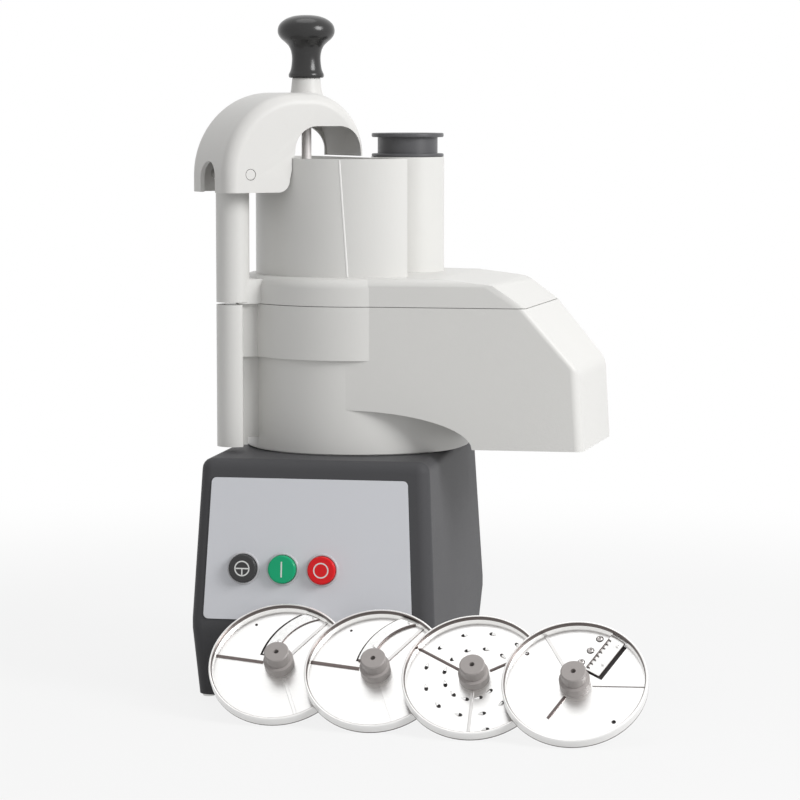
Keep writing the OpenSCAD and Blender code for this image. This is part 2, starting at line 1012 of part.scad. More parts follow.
module bowl() {
    color("whitesmoke")
        difference() {
            union() {
                difference() {
                    union() {
                        translate([0, 0, base_h + rebate_h])
                            cylinder(r = bowl_r, h = bowl_h - rebate_h);
                        translate([0, 0, collar_z])
                            cylinder(r = collar_r, h = seam_z - collar_z);
                        chute_solid();
                    }
                    translate([0, 0, base_h - 1])
                        cylinder(r = bowl_r - bowl_wall, h = bowl_h + 2);
                    chute_hollow();
                }
                difference() {
                    translate([0, 0, base_h])
                        cylinder(r = skirt_r, h = floor_up);
                    translate([0, 0, base_h - 1])
                        cylinder(r = skirt_r - bowl_wall, h = floor_up + 1 - bowl_wall);
                }
                translate([0, 0, base_h])
                    cylinder(d = tube_boss_d, h = boss_top - base_h);
                head()
                    translate([-column_out, 0, column_z])
                        cylinder(d = column_d, h = seam_z - column_z);
                column_bridge(
                    collar_r - bridge_in, collar_z + bridge_in, seam_z - collar_z - bridge_in, column_d * 0.8
                );
                column_bridge(bowl_r, column_z + 6, collar_z - column_z, web_t);
            }
            translate([0, 0, base_h - 1])
                cylinder(d = journal_d + 4, h = boss_top - base_h + 2);
            translate([0, 0, boss_top - seal_h])
                cylinder(d = seal_d, h = seal_h + 1);
            head()
                translate([-column_out, 0, column_z + 3])
                    cylinder(d = column_bore, h = bowl_h);
        }
}

// Lid with the two hoppers

roof_fall = 4.5;
roof_slope = 45;

// Front view of the roof over the chute
function roof_front(foot, top) = [
    [-end_room, foot], [slant_at(foot), foot], [roof_x, top - roof_fall], [roof_x - roof_slope, top],
    [-end_room, top]
];

// End view of the roof with its rounded front shoulder
function roof_end(r, top) = concat(
    [[-bowl_r, seam_z - 20]],
    [[2 * bowl_r, seam_z - 20], [2 * bowl_r, top]],
    arc([-bowl_r + r, top - r], r, 90, 180, 8)
);

module roof_solid(inset) {
    intersection() {
        translate([0, 0, lid_z - inset])
            linear_extrude(lid_h + inset)
                chute_plan(inset, chute_x + end_room);
        turned_end()
            side_extrude(4 * bowl_r)
                polygon(inset_poly(roof_front(lid_z - 2 * inset, lid_top), inset));
        rotate([90, 0, 90])
            linear_extrude(chute_x + end_room)
                polygon(inset_poly(roof_end(shoulder_r, lid_top), inset));
    }
}

module lid_round(inset) {
    r = shoulder_r - inset;
    rotate_extrude()
        polygon(concat(
            [[0, lid_z - 2 * inset], [collar_r - inset, lid_z - 2 * inset]],
            arc([collar_r - shoulder_r, lid_top - shoulder_r], r, 0, 90, 8),
            [[0, lid_top - inset]]
        ));
}

module half_moon(r, cut) {
    intersection() {
        circle(r);
        translate([-2 * r - cut, -2 * r])
            square([2 * r, 4 * r]);
    }
}

module lid() {
    color("whitesmoke")
        difference() {
            union() {
                difference() {
                    union() {
                        lid_round(0);
                        roof_solid(0);
                    }
                    lid_round(bowl_wall);
                    roof_solid(bowl_wall);
                }
                head() {
                    translate([0, 0, lid_z])
                        linear_extrude(rim_z - lid_z)
                            half_moon(hopper_r, 0);
                    translate([tube_out, 0, lid_z])
                        cylinder(d = tube_d, h = rim_z - lid_z);
                    translate([-column_out, 0, lid_z + 1.5])
                        cylinder(d = column_d, h = column_top - lid_z - 1.5);
                }
                column_bridge(collar_r, lid_z, lid_h - 3, column_d * 0.8);
            }
            head() {
                translate([0, 0, lid_z - 1])
                    linear_extrude(rim_z - lid_z + 2)
                        half_moon(hopper_r - hopper_wall, hopper_wall);
                translate([tube_out, 0, lid_z - 1])
                    cylinder(d = tube_bore, h = rim_z - lid_z + 2);
                translate([-column_out, 0, lid_z - 1])
                    cylinder(d = column_bore, h = column_top - lid_z + 2);
            }
        }
}

// Small pusher with its grip between two flanges and a shallow dish in its top
flange_r = tube_d / 2 - 0.5;
flange_edge = 0.6;
top_flange_t = 3.4;
foot_flange_t = 2.5;
grip_h = 19.4;
grip_in = 5;
dish_rim = 4;
dish_h = 2;

module small_pusher() {
    plug_r = tube_bore / 2 - slip;
    plug_z = lid_z - rim_z + 3;
    waist_r = flange_r - grip_in;
    under_z = grip_h - top_flange_t;
    dish_r = flange_r - dish_rim;
    color("darkslategray")
        head()
            translate([tube_out, 0, rim_z + slip])
                rotate_extrude()
                    polygon([
                        [0, grip_h - dish_h], [dish_r - dish_h, grip_h - dish_h], [dish_r, grip_h],
                        [flange_r - flange_edge, grip_h], [flange_r, grip_h - flange_edge],
                        [flange_r, under_z + flange_edge], [flange_r - flange_edge, under_z],
                        [waist_r, under_z], [waist_r, foot_flange_t],
                        [flange_r - flange_edge, foot_flange_t], [flange_r, foot_flange_t - flange_edge],
                        [flange_r, 0], [plug_r, 0], [plug_r, plug_z], [0, plug_z]
                    ]);
}

// Pusher arm

// Outer side view of the arm, without the opening under it
function arm_profile() = concat(
    [[arm_back, leg_z], [arm_front, leg_z]],
    arc([front_arc_x, arm_top - front_arc_r], front_arc_r, 0, 90),
    arc([back_arc_x, arm_top - back_arc_r], back_arc_r, 90, 180)
);

// The opening in both cheeks: the hopper side of the leg and the arched window
function arm_opening() = concat(
    [[leg_front - 10, leg_z - 10]],
    arc([leg_front - 10, leg_z + 10], 10, -90, 0, 6),
    [[leg_front + 4.5, arm_z + 2]],
    arc([leg_front + 5 + window_r, rim_z + window_h - window_r], window_r, 180, 90, 8),
    arc([arm_front - 4.5 - window_r, rim_z + window_h - window_r], window_r, 90, 0, 8),
    [[arm_front - 4.5, arm_z], [arm_front + 10, arm_z], [arm_front + 10, leg_z - 10]]
);

// Outer form with softly rounded edges along both cheeks
module arm_form() {
    hull()
        for (a = [0 : 30 : 90]) {
            w = arm_w - 2 * arm_edge_r * (1 - sin(a));
            side_extrude(w)
                polygon(inset_poly(arm_profile(), arm_edge_r * (1 - cos(a))));
        }
}

notch_w = 27;
notch_h = 25;
hopper_play = 0.8;
neck_sink = 8;
neck_foot_r = 13;
neck_top_r = 11.2;

module pusher_arm() {
    color("white")
        head()
            difference() {
                union() {
                    arm_form();
                    translate([-knob_back, 0, arm_top - neck_sink])
                        cylinder(r1 = neck_foot_r, r2 = neck_top_r, h = neck_h + neck_sink);
                }
                side_extrude(arm_w - 2 * arm_wall)
                    polygon(concat(
                        [[arm_back + arm_wall, leg_z - 10], [arm_front - arm_wall, leg_z - 10]],
                        arc([front_arc_x, arm_top - front_arc_r], front_arc_r - arm_wall, 0, 90),
                        arc([back_arc_x, arm_top - back_arc_r], back_arc_r - arm_wall, 90, 180)
                    ));
                side_extrude(2 * arm_w)
                    polygon(arm_opening());
                translate([arm_back - 1, -notch_w / 2, leg_z - 1])
                    cube([arm_wall + 2, notch_w, notch_h - notch_w / 2 + 1]);
                translate([arm_back - 1, 0, leg_z + notch_h - notch_w / 2])
                    rotate([0, 90, 0])
                        cylinder(d = notch_w, h = arm_wall + 2);
                translate([-column_out, 0, pin_z])
                    rotate([90, 0, 0])
                        translate([0, 0, -arm_w])
                            cylinder(d = pin_d + 2 * fit, h = 2 * arm_w);
                translate([-knob_back, 0, arm_top - 3 * arm_wall])
                    cylinder(d = stem_d + 2 * slip, h = neck_h + 3 * arm_wall + 1);
                translate([0, 0, leg_z - 1])
                    cylinder(r = hopper_r + hopper_play, h = rim_z + 2 - leg_z);
            }
}

module arm_pin() {
    color("silver")
        head()
            translate([-column_out, arm_w / 2, pin_z])
                rotate([90, 0, 0])
                    cylinder(d = pin_d, h = arm_w);
}

// Rod in the column with an eye for the cross pin and a seat for the magnet
module guide_rod() {
    color("silver")
        head()
            translate([-column_out, 0, 0])
                difference() {
                    union() {
                        translate([0, 0, rod_z])
                            cylinder(d = rod_d, h = column_top + slip - rod_z);
                        translate([0, 0, column_top + slip])
                            cylinder(d = rod_head_d, h = pin_z - column_top + pin_d);
                    }
                    translate([0, 0, pin_z])
                        rotate([90, 0, 0])
                            translate([0, 0, -arm_w])
                                cylinder(d = pin_d + 2 * fit, h = 2 * arm_w);
                }
}

module rod_magnet() {
    color("dimgray")
        head()
            translate([-column_out, 0, rod_z - magnet_h])
                cylinder(d = rod_d, h = magnet_h);
}

module pusher_stem() {
    color("silver")
        head()
            translate([-knob_back, 0, pusher_top])
                cylinder(d = stem_d, h = stem_top - pusher_top);
}

foot_cut = hopper_wall + pusher_play;
foot_r = hopper_r - hopper_wall - pusher_play;

module pusher_foot() {
    color("whitesmoke")
        head() {
            translate([0, 0, pusher_z])
                linear_extrude(pusher_t)
                    half_moon(foot_r, foot_cut);
            translate([-knob_back, 0, pusher_top - 1])
                ring(stem_d + 14, stem_d + 2 * fit, 15);
        }
}

// Turned knob: waisted grip under a mushroom head
knob_foot_r = 14.5;
knob_waist_r = 11.7;

module knob() {
    brow = knob_h * 0.74;
    color("black")
        head()
            translate([-knob_back, 0, neck_top])
                difference() {
                    rotate_extrude()
                        polygon(concat(
                            [[0, 0], [knob_foot_r - 1, 0], [knob_foot_r, 1], [knob_foot_r, 3.4]],
                            [
                                for (i = [0 : 12])
                                    let (
                                        u = i / 12,
                                        low = knob_foot_r - 1,
                                        high = knob_r * 0.92
                                    )
                                    [
                                        knob_waist_r + (low - knob_waist_r) * pow(max(0, 1 - u / 0.45), 2)
                                            + (high - knob_waist_r) * pow(max(0, (u - 0.45) / 0.55), 2.4),
                                        5 + (brow - 10) * u
                                    ]
                            ],
                            [
                                for (t = [-25 : 11.5 : 90])
                                    [
                                        (knob_r - 14) * (1 - pow(max(0, t) / 90, 3)) + 14 * cos(t),
                                        brow + (knob_h - brow) * sin(t)
                                    ]
                            ],
                            [[0, knob_h]]
                        ));
                    translate([0, 0, -1])
                        cylinder(d = stem_d + 2 * fit, h = stem_top - neck_top + 1.1);
                }
}

// Cutting discs, drawn flat about their own axis; places are fractions of the disc radius

// Lays a disc in its place in the leaning row
module in_row(i) {
    translate([
        row_x + (i - 1.5) * disc_pitch,
        rest_y - slip - disc_r * cos(disc_lean) - i * disc_step,
        disc_r * sin(disc_lean)
    ])
        rotate([disc_lean, 0, 0])
            children();
}

// Plain plate in its rolled rim with a hole for the hub and three radial ribs
module disc_blank(turn, short_rib) {
    roll = rim_w / 2;
    rotate_extrude()
        polygon(concat(
            [[disc_r - rim_w, 0], [disc_r, 0]],
            arc([disc_r - roll, rim_h - roll], roll, 0, 180, 6)
        ));
    translate([0, 0, plate_z])
        ring(disc_d - rim_w, hub_seat_d, sheet_t);
    for (i = [0 : 2])
        rotate([0, 0, turn + i * 120])
            translate([hub_clear, -rib_w / 2, plate_face - tiny])
                cube([(i == 2 ? short_rib : 1) * rib_end - hub_clear, rib_w, rib_h]);
}

module disc_hole(place, d) {
    translate([place[0] * disc_r, place[1] * disc_r, 0])
        cylinder(d = d, h = rim_h);
}

// Stepped hub, seated in the plate, with the spindle bore and drive slot from below
module disc_hub() {
    step_z = plate_face + hub_h * 0.42;
    hub_top = plate_face + hub_h;
    soft = 0.8;
    spigot_z = 0.5;
    cap_t = 5;
    difference() {
        rotate_extrude()
            polygon([
                [0, spigot_z], [hub_seat_d / 2 - fit, spigot_z], [hub_seat_d / 2 - fit, plate_face],
                [hub_d / 2, plate_face], [hub_d / 2, step_z], [hub_top_d / 2, step_z + soft],
                [hub_top_d / 2, hub_top - soft], [hub_top_d / 2 - soft, hub_top], [0, hub_top]
            ]);
        cylinder(d = drive_d + 2 * fit, h = hub_top - cap_t);
        cylinder(d = hub_hole_d, h = hub_top + 1);
        translate([-hub_seat_d / 2, -lug_w / 2 - slip, 0])
            cube([hub_seat_d, lug_w + 2 * slip, lug_h + spigot_z]);
    }
}

// Slicers: circles of the two long edges of the sickle blade, as centre and radius
cut_edge = [0.728, 0, 1.017];
back_edge = [0.638, 0.114, 0.705];
sickle_foot = [-0.34, 0.16];
sickle_reach = 0.93;
slot_reach = 0.9;
slot_out = 0.03;
slot_in = 0.02;
slicer_turn = 53;
slicer_hole = [-0.444, 0.682];
sickle_rivets = [[-0.071, 0.395], [0.373, 0.818]];
thick_lift = 1.2;

module edge_circle(edge, grow) {
    translate([edge[0] * disc_r, edge[1] * disc_r])
        circle(r = (edge[2] + grow) * disc_r);
}

// The field above the hub and inside the rim that a blade or its slot may take
module sickle_field(reach) {
    intersection() {
        circle(r = reach * disc_r);
        translate(sickle_foot * disc_r)
            square(disc_r);
    }
}

module slicer_plate() {
    difference() {
        disc_blank(slicer_turn, 1);
        translate([0, 0, plate_z - 1])
            linear_extrude(sheet_t + 2)
                intersection() {
                    difference() {
                        edge_circle(cut_edge, slot_out);
                        edge_circle(cut_edge, -slot_in);
                    }
                    sickle_field(slot_reach);
                }
        disc_hole(slicer_hole, 0.04 * disc_r);
    }
}

// The blade lies on the plate, and its cutting edge stands over the slot
module slicer_blade(lift) {
    translate([0, 0, plate_face + fit])
        linear_extrude(blade_t + lift)
            difference() {
                intersection() {
                    edge_circle(cut_edge, 0);
                    sickle_field(sickle_reach);
                }
                edge_circle(back_edge, 0);
                circle(r = hub_clear);
            }
}

module thin_slicer_plate() {
    color("silver")
        in_row(0)
            slicer_plate();
}

module thin_slicer_blade() {
    color("gainsboro")
        in_row(0)
            slicer_blade(0);
}

module thin_slicer_hub() {
    color("lightgray")
        in_row(0)
            disc_hub();
}

module thick_slicer_plate() {
    color("silver")
        in_row(1)
            slicer_plate();
}

module thick_slicer_blade() {
    color("gainsboro")
        in_row(1)
            slicer_blade(thick_lift);
}

module thick_slicer_hub() {
    color("lightgray")
        in_row(1)
            disc_hub();
}

// Grater: raised teeth on an inward spiral that passes between the ribs
tooth_d = 0.075 * disc_r;
tooth_h = 1.2;
tooth_sink = 0.4;
tooth_n = 26;
tooth_step = 30;
first_tooth = -74;
outer_tooth = 0.88;
inner_tooth = 0.32;
grater_turn = 31;
grater_hole = [-0.887, 0.039];

module at_teeth() {
    for (i = [0 : tooth_n - 1])
        rotate([0, 0, first_tooth + i * tooth_step])
            translate([
                disc_r * (outer_tooth - (outer_tooth - inner_tooth) * i / (tooth_n - 1)), 0, plate_face
            ])
                children();
}

module grater_plate() {
    color("silver")
        in_row(2)
            difference() {
                union() {
                    disc_blank(grater_turn, 1);
                    at_teeth()
                        translate([0, 0, -tooth_sink])
                            cylinder(d1 = 1.35 * tooth_d, d2 = tooth_d, h = tooth_h + tooth_sink);
                }
                at_teeth()
                    translate([0, 0, -sheet_t - 1])
                        cylinder(d = 0.6 * tooth_d, h = sheet_t + tooth_h + 2);
                disc_hole(grater_hole, 0.07 * disc_r);
            }
}

module grater_hub() {
    color("lightgray")
        in_row(2)
            disc_hub();
}

// Julienne disc: a straight knife over an opening, with a comb along its back and three screws
knife_turn = 61;
knife_foot = 0.27;
knife_reach = 0.945;
knife_edge = -0.213;
knife_back = 0.035;
opening_foot = 0.25;
opening_edge = -0.263;
opening_reach = 0.925;
comb_n = 8;
comb_from = 0.31;
comb_to = 0.86;
comb_w = 0.03;
comb_h = 0.8;
comb_tooth = [0.025, 0.06];
comb_tooth_h = 1.6;
knife_screws = [0.353, 0.581, 0.809];
knife_screw_y = 0.137;
knife_rivets = [0.463, 0.816];
knife_rivet_y = -0.15;
julienne_turn = 1;
julienne_holes = [[-0.706, 0.49], [0.577, -0.588]];
short_rib = 0.69;

module knife_strip(from, low, high, reach) {
    intersection() {
        circle(r = reach * disc_r);
        translate([from, low] * disc_r)
            square([1, high - low] * disc_r);
    }
}

module julienne_plate() {
    color("silver")
        in_row(3)
            difference() {
                disc_blank(julienne_turn, short_rib);
                rotate([0, 0, knife_turn])
                    translate([0, 0, plate_z - 1])
                        linear_extrude(sheet_t + 2)
                            knife_strip(opening_foot, opening_edge, 0, opening_reach);
                for (place = julienne_holes)
                    disc_hole(place, 0.06 * disc_r);
            }
}

module julienne_blade() {
    color("gainsboro")
        in_row(3)
            rotate([0, 0, knife_turn])
                translate([0, 0, plate_face + fit])
                    linear_extrude(blade_t)
                        knife_strip(knife_foot, knife_edge, knife_back, knife_reach);
}

module julienne_comb() {
    color("silver")
        in_row(3)
            rotate([0, 0, knife_turn])
                translate([comb_from * disc_r, 0, plate_face + blade_t + 2 * fit]) {
                    cube([(comb_to - comb_from) * disc_r, comb_w * disc_r, comb_h]);
                    for (i = [0 : comb_n - 1])
                        translate([
                            (comb_to - comb_from - comb_tooth[0]) * disc_r * i / (comb_n - 1),
                            (comb_w / 2 - comb_tooth[1]) * disc_r, 0
                        ])
                            cube([comb_tooth[0] * disc_r, comb_tooth[1] * disc_r, comb_tooth_h]);
                }
}

module julienne_hub() {
    color("lightgray")
        in_row(3)
            disc_hub();
}

// Rivet heads on the blades
rivet_d = 0.05 * disc_r;
rivet_h = 0.8;

module disc_rivets() {
    color("silver") {
        for (i = [0, 1])
            in_row(i)
                for (place = sickle_rivets)
                    translate([
                        place[0] * disc_r, place[1] * disc_r, plate_face + blade_t + i * thick_lift + 2 * fit
                    ])
                        cylinder(d = rivet_d, h = rivet_h);
        in_row(3)
            rotate([0, 0, knife_turn])
                for (x = knife_rivets)
                    translate([x * disc_r, knife_rivet_y * disc_r, plate_face + blade_t + 2 * fit])
                        cylinder(d = rivet_d, h = rivet_h);
    }
}

module julienne_screws() {
    color("silver")
        in_row(3)
            rotate([0, 0, knife_turn])
                for (x = knife_screws)
                    translate([x * disc_r, knife_screw_y * disc_r, plate_face])
                        cylinder(d = 0.09 * disc_r, h = 1.4);
}

motor_housing();
base_plate();
rubber_feet();
foot_screws();
housing_screws();
control_panel();
button_rings();
pulse_button();
start_button();
stop_button();
switch_block();
control_board();
run_capacitor();
reed_switch();
cord_gland();
upper_end_bell();
lower_end_bell();
stator_core();
stator_windings();
motor_bolts();
upper_bearing();
lower_bearing();
shaft_seal();
rotor_core();
motor_shaft();
cooling_fan();
ejector_plate();
bowl();
lid();
small_pusher();
pusher_arm();
arm_pin();
guide_rod();
rod_magnet();
pusher_stem();
pusher_foot();
knob();
thin_slicer_plate();
thin_slicer_blade();
thin_slicer_hub();
thick_slicer_plate();
thick_slicer_blade();
thick_slicer_hub();
grater_plate();
grater_hub();
julienne_plate();
julienne_blade();
julienne_comb();
julienne_hub();
disc_rivets();
julienne_screws();
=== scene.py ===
# Countertop vegetable cutter, dressed piece by piece in the order in which it is put together
import json
import math

import bmesh
import bpy
from mathutils import Matrix, Vector
from mathutils.bvhtree import BVHTree
from mathutils.interpolate import poly_3d_calc

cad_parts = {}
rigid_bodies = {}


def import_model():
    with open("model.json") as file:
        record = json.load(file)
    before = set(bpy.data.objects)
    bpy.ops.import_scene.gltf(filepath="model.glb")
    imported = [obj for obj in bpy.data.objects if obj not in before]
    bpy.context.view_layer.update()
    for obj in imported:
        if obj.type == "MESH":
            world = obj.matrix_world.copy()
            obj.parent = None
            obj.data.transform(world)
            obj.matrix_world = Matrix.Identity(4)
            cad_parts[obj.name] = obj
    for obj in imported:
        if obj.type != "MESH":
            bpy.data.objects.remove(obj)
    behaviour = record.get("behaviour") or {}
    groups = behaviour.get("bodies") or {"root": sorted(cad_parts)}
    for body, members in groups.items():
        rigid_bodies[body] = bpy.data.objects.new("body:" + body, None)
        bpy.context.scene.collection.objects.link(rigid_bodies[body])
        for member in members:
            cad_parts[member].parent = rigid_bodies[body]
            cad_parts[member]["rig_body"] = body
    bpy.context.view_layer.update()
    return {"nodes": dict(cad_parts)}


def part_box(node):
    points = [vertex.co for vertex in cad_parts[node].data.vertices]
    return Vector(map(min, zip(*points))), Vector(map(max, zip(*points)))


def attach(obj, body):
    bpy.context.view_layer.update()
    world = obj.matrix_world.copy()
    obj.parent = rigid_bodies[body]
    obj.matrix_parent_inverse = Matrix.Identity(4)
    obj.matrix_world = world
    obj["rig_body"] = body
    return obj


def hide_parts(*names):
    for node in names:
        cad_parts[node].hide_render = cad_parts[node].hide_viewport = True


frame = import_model()
nodes = frame["nodes"]
scene = bpy.context.scene


# Motor housing
# One deep injection moulding in dark grey plastic with a fine spark-eroded grain.
# It stands over the motor, is open underneath and is screwed to the bottom plate.
class Socket:
    """An output in a node tree; arithmetic on it adds Math nodes."""

    def __init__(self, graph, out):
        self.graph = graph
        self.out = out

    def maths(self, operation, first, second=None):
        values = {0: first} if second is None else {0: first, 1: second}
        return self.graph.node("ShaderNodeMath", {"operation": operation}, values)

    def __add__(self, other):
        return self.maths("ADD", self, other)

    def __radd__(self, other):
        return self.maths("ADD", other, self)

    def __sub__(self, other):
        return self.maths("SUBTRACT", self, other)

    def __rsub__(self, other):
        return self.maths("SUBTRACT", other, self)

    def __mul__(self, other):
        return self.maths("MULTIPLY", self, other)

    def __rmul__(self, other):
        return self.maths("MULTIPLY", other, self)

    def __truediv__(self, other):
        return self.maths("DIVIDE", self, other)

    def __rtruediv__(self, other):
        return self.maths("DIVIDE", other, self)


class Graph:
    """A node tree written as calls and expressions."""

    def __init__(self, tree):
        self.tree = tree

    def fill(self, node, key, value):
        if isinstance(value, Socket):
            self.tree.links.new(value.out, node.inputs[key])
        else:
            node.inputs[key].default_value = value

    def node(self, kind, settings, values, output=0):
        made = self.tree.nodes.new(kind)
        for key, value in settings.items():
            if key == "stops":
                ramp = made.color_ramp.elements
                while len(ramp) < len(value):
                    ramp.new(1)
                for element, (place, colour) in zip(ramp, value):
                    element.position = place
                    element.color = colour
            else:
                setattr(made, key, value)
        for key, value in values.items():
            self.fill(made, key, value)
        return Socket(self, made.outputs[output])


class Finish(Graph):
    """A material in the coordinates of the assembly."""

    def __init__(self, name):
        self.material = bpy.data.materials.new(name)
        self.material.use_nodes = True
        super().__init__(self.material.node_tree)
        self.shader = self.tree.nodes["Principled BSDF"]
        self.coords = self.node("ShaderNodeTexCoord", {}, {}, "Object")

    def noise(self, scale, detail=2.0, vector=None):
        source = self.coords if vector is None else vector
        values = {"Vector": source, "Scale": scale, "Detail": detail}
        return self.node("ShaderNodeTexNoise", {}, values, "Fac")

    def mix(self, factor, first, second):
        return self.node(
            "ShaderNodeMix", {"data_type": "RGBA"}, {0: factor, 6: first, 7: second}, 2
        )

    def bump(self, height, strength, distance):
        return self.node(
            "ShaderNodeBump", {}, {"Height": height, "Strength": strength, "Distance": distance}
        )

    def surface(self, **values):
        for key, value in values.items():
            self.fill(self.shader, key.replace("_", " "), value)
        return self.material


def shade(colour, factor):
    return tuple(channel * factor for channel in colour) + (1.0,)


def moulded_plastic(name, colour, roughness, grain, grain_depth, gloss=0.5):
    """Satin moulded plastic: a fine eroded grain, faint flow clouds and handling sheen."""
    finish = Finish(name)
    clouds = finish.noise(9.0, 3.0)
    speck = finish.noise(grain)
    peel = finish.noise(grain * 0.22)
    tint = finish.mix(clouds, shade(colour, 0.97), shade(colour, 1.03))
    sheen = roughness + (clouds - 0.5) * 0.10 + (peel - 0.5) * 0.06
    relief = finish.bump(speck * 0.7 + peel * 0.5, grain_depth, 0.0004)
    return finish.surface(
        Base_Color=tint, Roughness=sheen, Specular_IOR_Level=gloss, Normal=relief
    )


SHARP_ANGLE = math.radians(32)
FLAT_ANGLE = math.radians(0.5)
SAME_FACE = math.cos(math.radians(40))
WELD = 2e-6
SLIVER = 1e-6
TOUCH = 1e-5
FOLD_AREA = 3e-7
FOLDED_BACK = -0.9
BIG_ROUND_STEPS = 8


def put_in_scene(name, mesh):
    piece = bpy.data.objects.new(name, mesh)
    scene.collection.objects.link(piece)
    return piece


def settled(piece):
    """The piece with its modifiers worked into its mesh."""
    bpy.context.view_layer.update()
    ready = piece.evaluated_get(bpy.context.evaluated_depsgraph_get())
    mesh = bpy.data.meshes.new_from_object(ready)
    piece.modifiers.clear()
    piece.data = mesh
    return piece


def solid_copy(node):
    """The solid's own mesh with its loose triangles joined, folds opened and flat faces whole."""
    mesh = nodes[node].data.copy()
    work = bmesh.new()
    work.from_mesh(mesh)
    bmesh.ops.remove_doubles(work, verts=work.verts, dist=WELD)
    bmesh.ops.dissolve_degenerate(work, dist=SLIVER, edges=work.edges)
    folds = []
    for face in work.faces:
        longest = max(face.edges, key=lambda line: line.calc_length())
        turned_back = min(face.normal.dot(other.normal) for other in longest.link_faces)
        folded = face.calc_area() < FOLD_AREA and turned_back < FOLDED_BACK
        if folded and longest not in folds:
            folds.append(longest)
    bmesh.ops.dissolve_edges(work, edges=folds)
    bmesh.ops.dissolve_limit(
        work, angle_limit=FLAT_ANGLE, verts=work.verts, edges=work.edges, delimit={"NORMAL"}
    )
    work.to_mesh(mesh)
    work.free()
    return mesh


def without_slivers(mesh):
    """Takes out faces without area, left where a softened edge runs out, if all stays closed."""
    work = bmesh.new()
    work.from_mesh(mesh)
    bmesh.ops.dissolve_degenerate(work, dist=SLIVER, edges=work.edges)
    if all(len(line.link_faces) == 2 for line in work.edges):
        work.to_mesh(mesh)
    work.free()


def smooth(mesh):
    """Smooth shading that breaks at real edges."""
    mesh.shade_smooth()
    mesh.set_sharp_from_angle(angle=SHARP_ANGLE)


def even_normals(piece):
    """Smooth shading in which large faces stay flat and their rounded edges carry the turn."""
    smooth(piece.data)
    even = piece.modifiers.new("even shading", "WEIGHTED_NORMAL")
    even.keep_sharp = True
    settled(piece)


def true_normals(mesh, solid):
    """Gives corners on the solid's faces its exact normals; rounded edges blend between them."""
    places = [vertex.co for vertex in solid.vertices]
    faces = [face.vertices[:] for face in solid.polygons]
    tree = BVHTree.FromPolygons(places, faces)
    exact = [Vector(corner.vector) for corner in solid.corner_normals]
    blended = [Vector(corner.vector) for corner in mesh.corner_normals]
    normals = []
    for face in mesh.polygons:
        for index, corner in zip(face.vertices, face.loop_indices):
            place = mesh.vertices[index].co
            best, closest = None, SAME_FACE
            for _, direction, hit, _ in tree.find_nearest_range(place, TOUCH):
                if direction.dot(face.normal) > closest:
                    best, closest = hit, direction.dot(face.normal)
            normal = blended[corner]
            if best is not None:
                weights = poly_3d_calc([places[i] for i in faces[best]], place)
                corners = solid.polygons[best].loop_indices
                normal = sum((exact[i] * w for i, w in zip(corners, weights)), Vector())
            normals.append(normal.normalized())
    mesh.normals_split_custom_set(normals)


def soften(piece, width, steps, angle=SHARP_ANGLE):
    """Rounds every edge that turns by more than an angle."""
    soft = piece.modifiers.new("soft edges", "BEVEL")
    soft.limit_method = "ANGLE"
    soft.angle_limit = angle
    soft.width = width
    soft.segments = steps
    settled(piece)


def cut(piece, tool, operation="DIFFERENCE"):
    """Takes a tool's shape out of a piece, or joins it on, and puts the tool away."""
    step = piece.modifiers.new(tool.name, "BOOLEAN")
    step.operation = operation
    step.solver = "EXACT"
    step.object = tool
    settled(piece)
    bpy.data.objects.remove(tool)


def stand_for(piece, node):
    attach(piece, nodes[node]["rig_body"])
    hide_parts(node)


def dress(node, material, edge=0.0, steps=3, rounds=(), faceted=False, recesses=()):
    """Stands for a solid: its shape with softened edges, exact shading and its finish.

    Each of the rounds is a radius and a choice of edges, made from their two ends in mm.
    """
    piece = put_in_scene(node + "_skin", solid_copy(node))
    for tool in recesses:
        cut(piece, tool)
    mesh = piece.data
    mesh.materials.clear()
    mesh.materials.append(material)
    if rounds:
        weights = mesh.attributes.new("bevel_weight_edge", "FLOAT", "EDGE").data
        widest = max(width for width, _ in rounds)
        for line in mesh.edges:
            ends = [mesh.vertices[index].co * 1000 for index in line.vertices]
            for width, chosen in rounds:
                if chosen(*ends):
                    weights[line.index].value = width / widest
        big = piece.modifiers.new("rounded edges", "BEVEL")
        big.limit_method = "WEIGHT"
        big.width = widest
        big.segments = BIG_ROUND_STEPS
        big.use_clamp_overlap = False
        settled(piece)
    if edge:
        soften(piece, edge, steps)
        without_slivers(piece.data)
    even_normals(piece)
    if not faceted:
        true_normals(piece.data, nodes[node].data)
    stand_for(piece, node)
    return piece


housing_grey = moulded_plastic(
    "housing grey grain", (0.078, 0.078, 0.082), 0.46, 1500.0, 0.35, gloss=0.06
)
dress("motor_housing", housing_grey, 0.0006, 2, faceted=True)


# Bottom plate, feet and their screws
# A painted sheet-steel plate with vents closes the housing; four rubber feet are screwed to it.
def painted_steel(name, colour):
    finish = Finish(name)
    peel = finish.noise(700.0)
    tint = finish.mix(finish.noise(14.0), shade(colour, 0.9), shade(colour, 1.1))
    return finish.surface(
        Base_Color=tint, Roughness=0.42 + peel * 0.12, Normal=finish.bump(peel, 0.2, 0.0003)
    )


def rubber(name, colour):
    finish = Finish(name)
    dust = finish.noise(60.0, 4.0)
    tint = finish.mix(dust, shade(colour, 0.85), shade(colour, 1.35))
    fine = finish.noise(1300.0)
    return finish.surface(
        Base_Color=tint, Roughness=0.72 + dust * 0.16, Normal=finish.bump(fine, 0.25, 0.0003)
    )


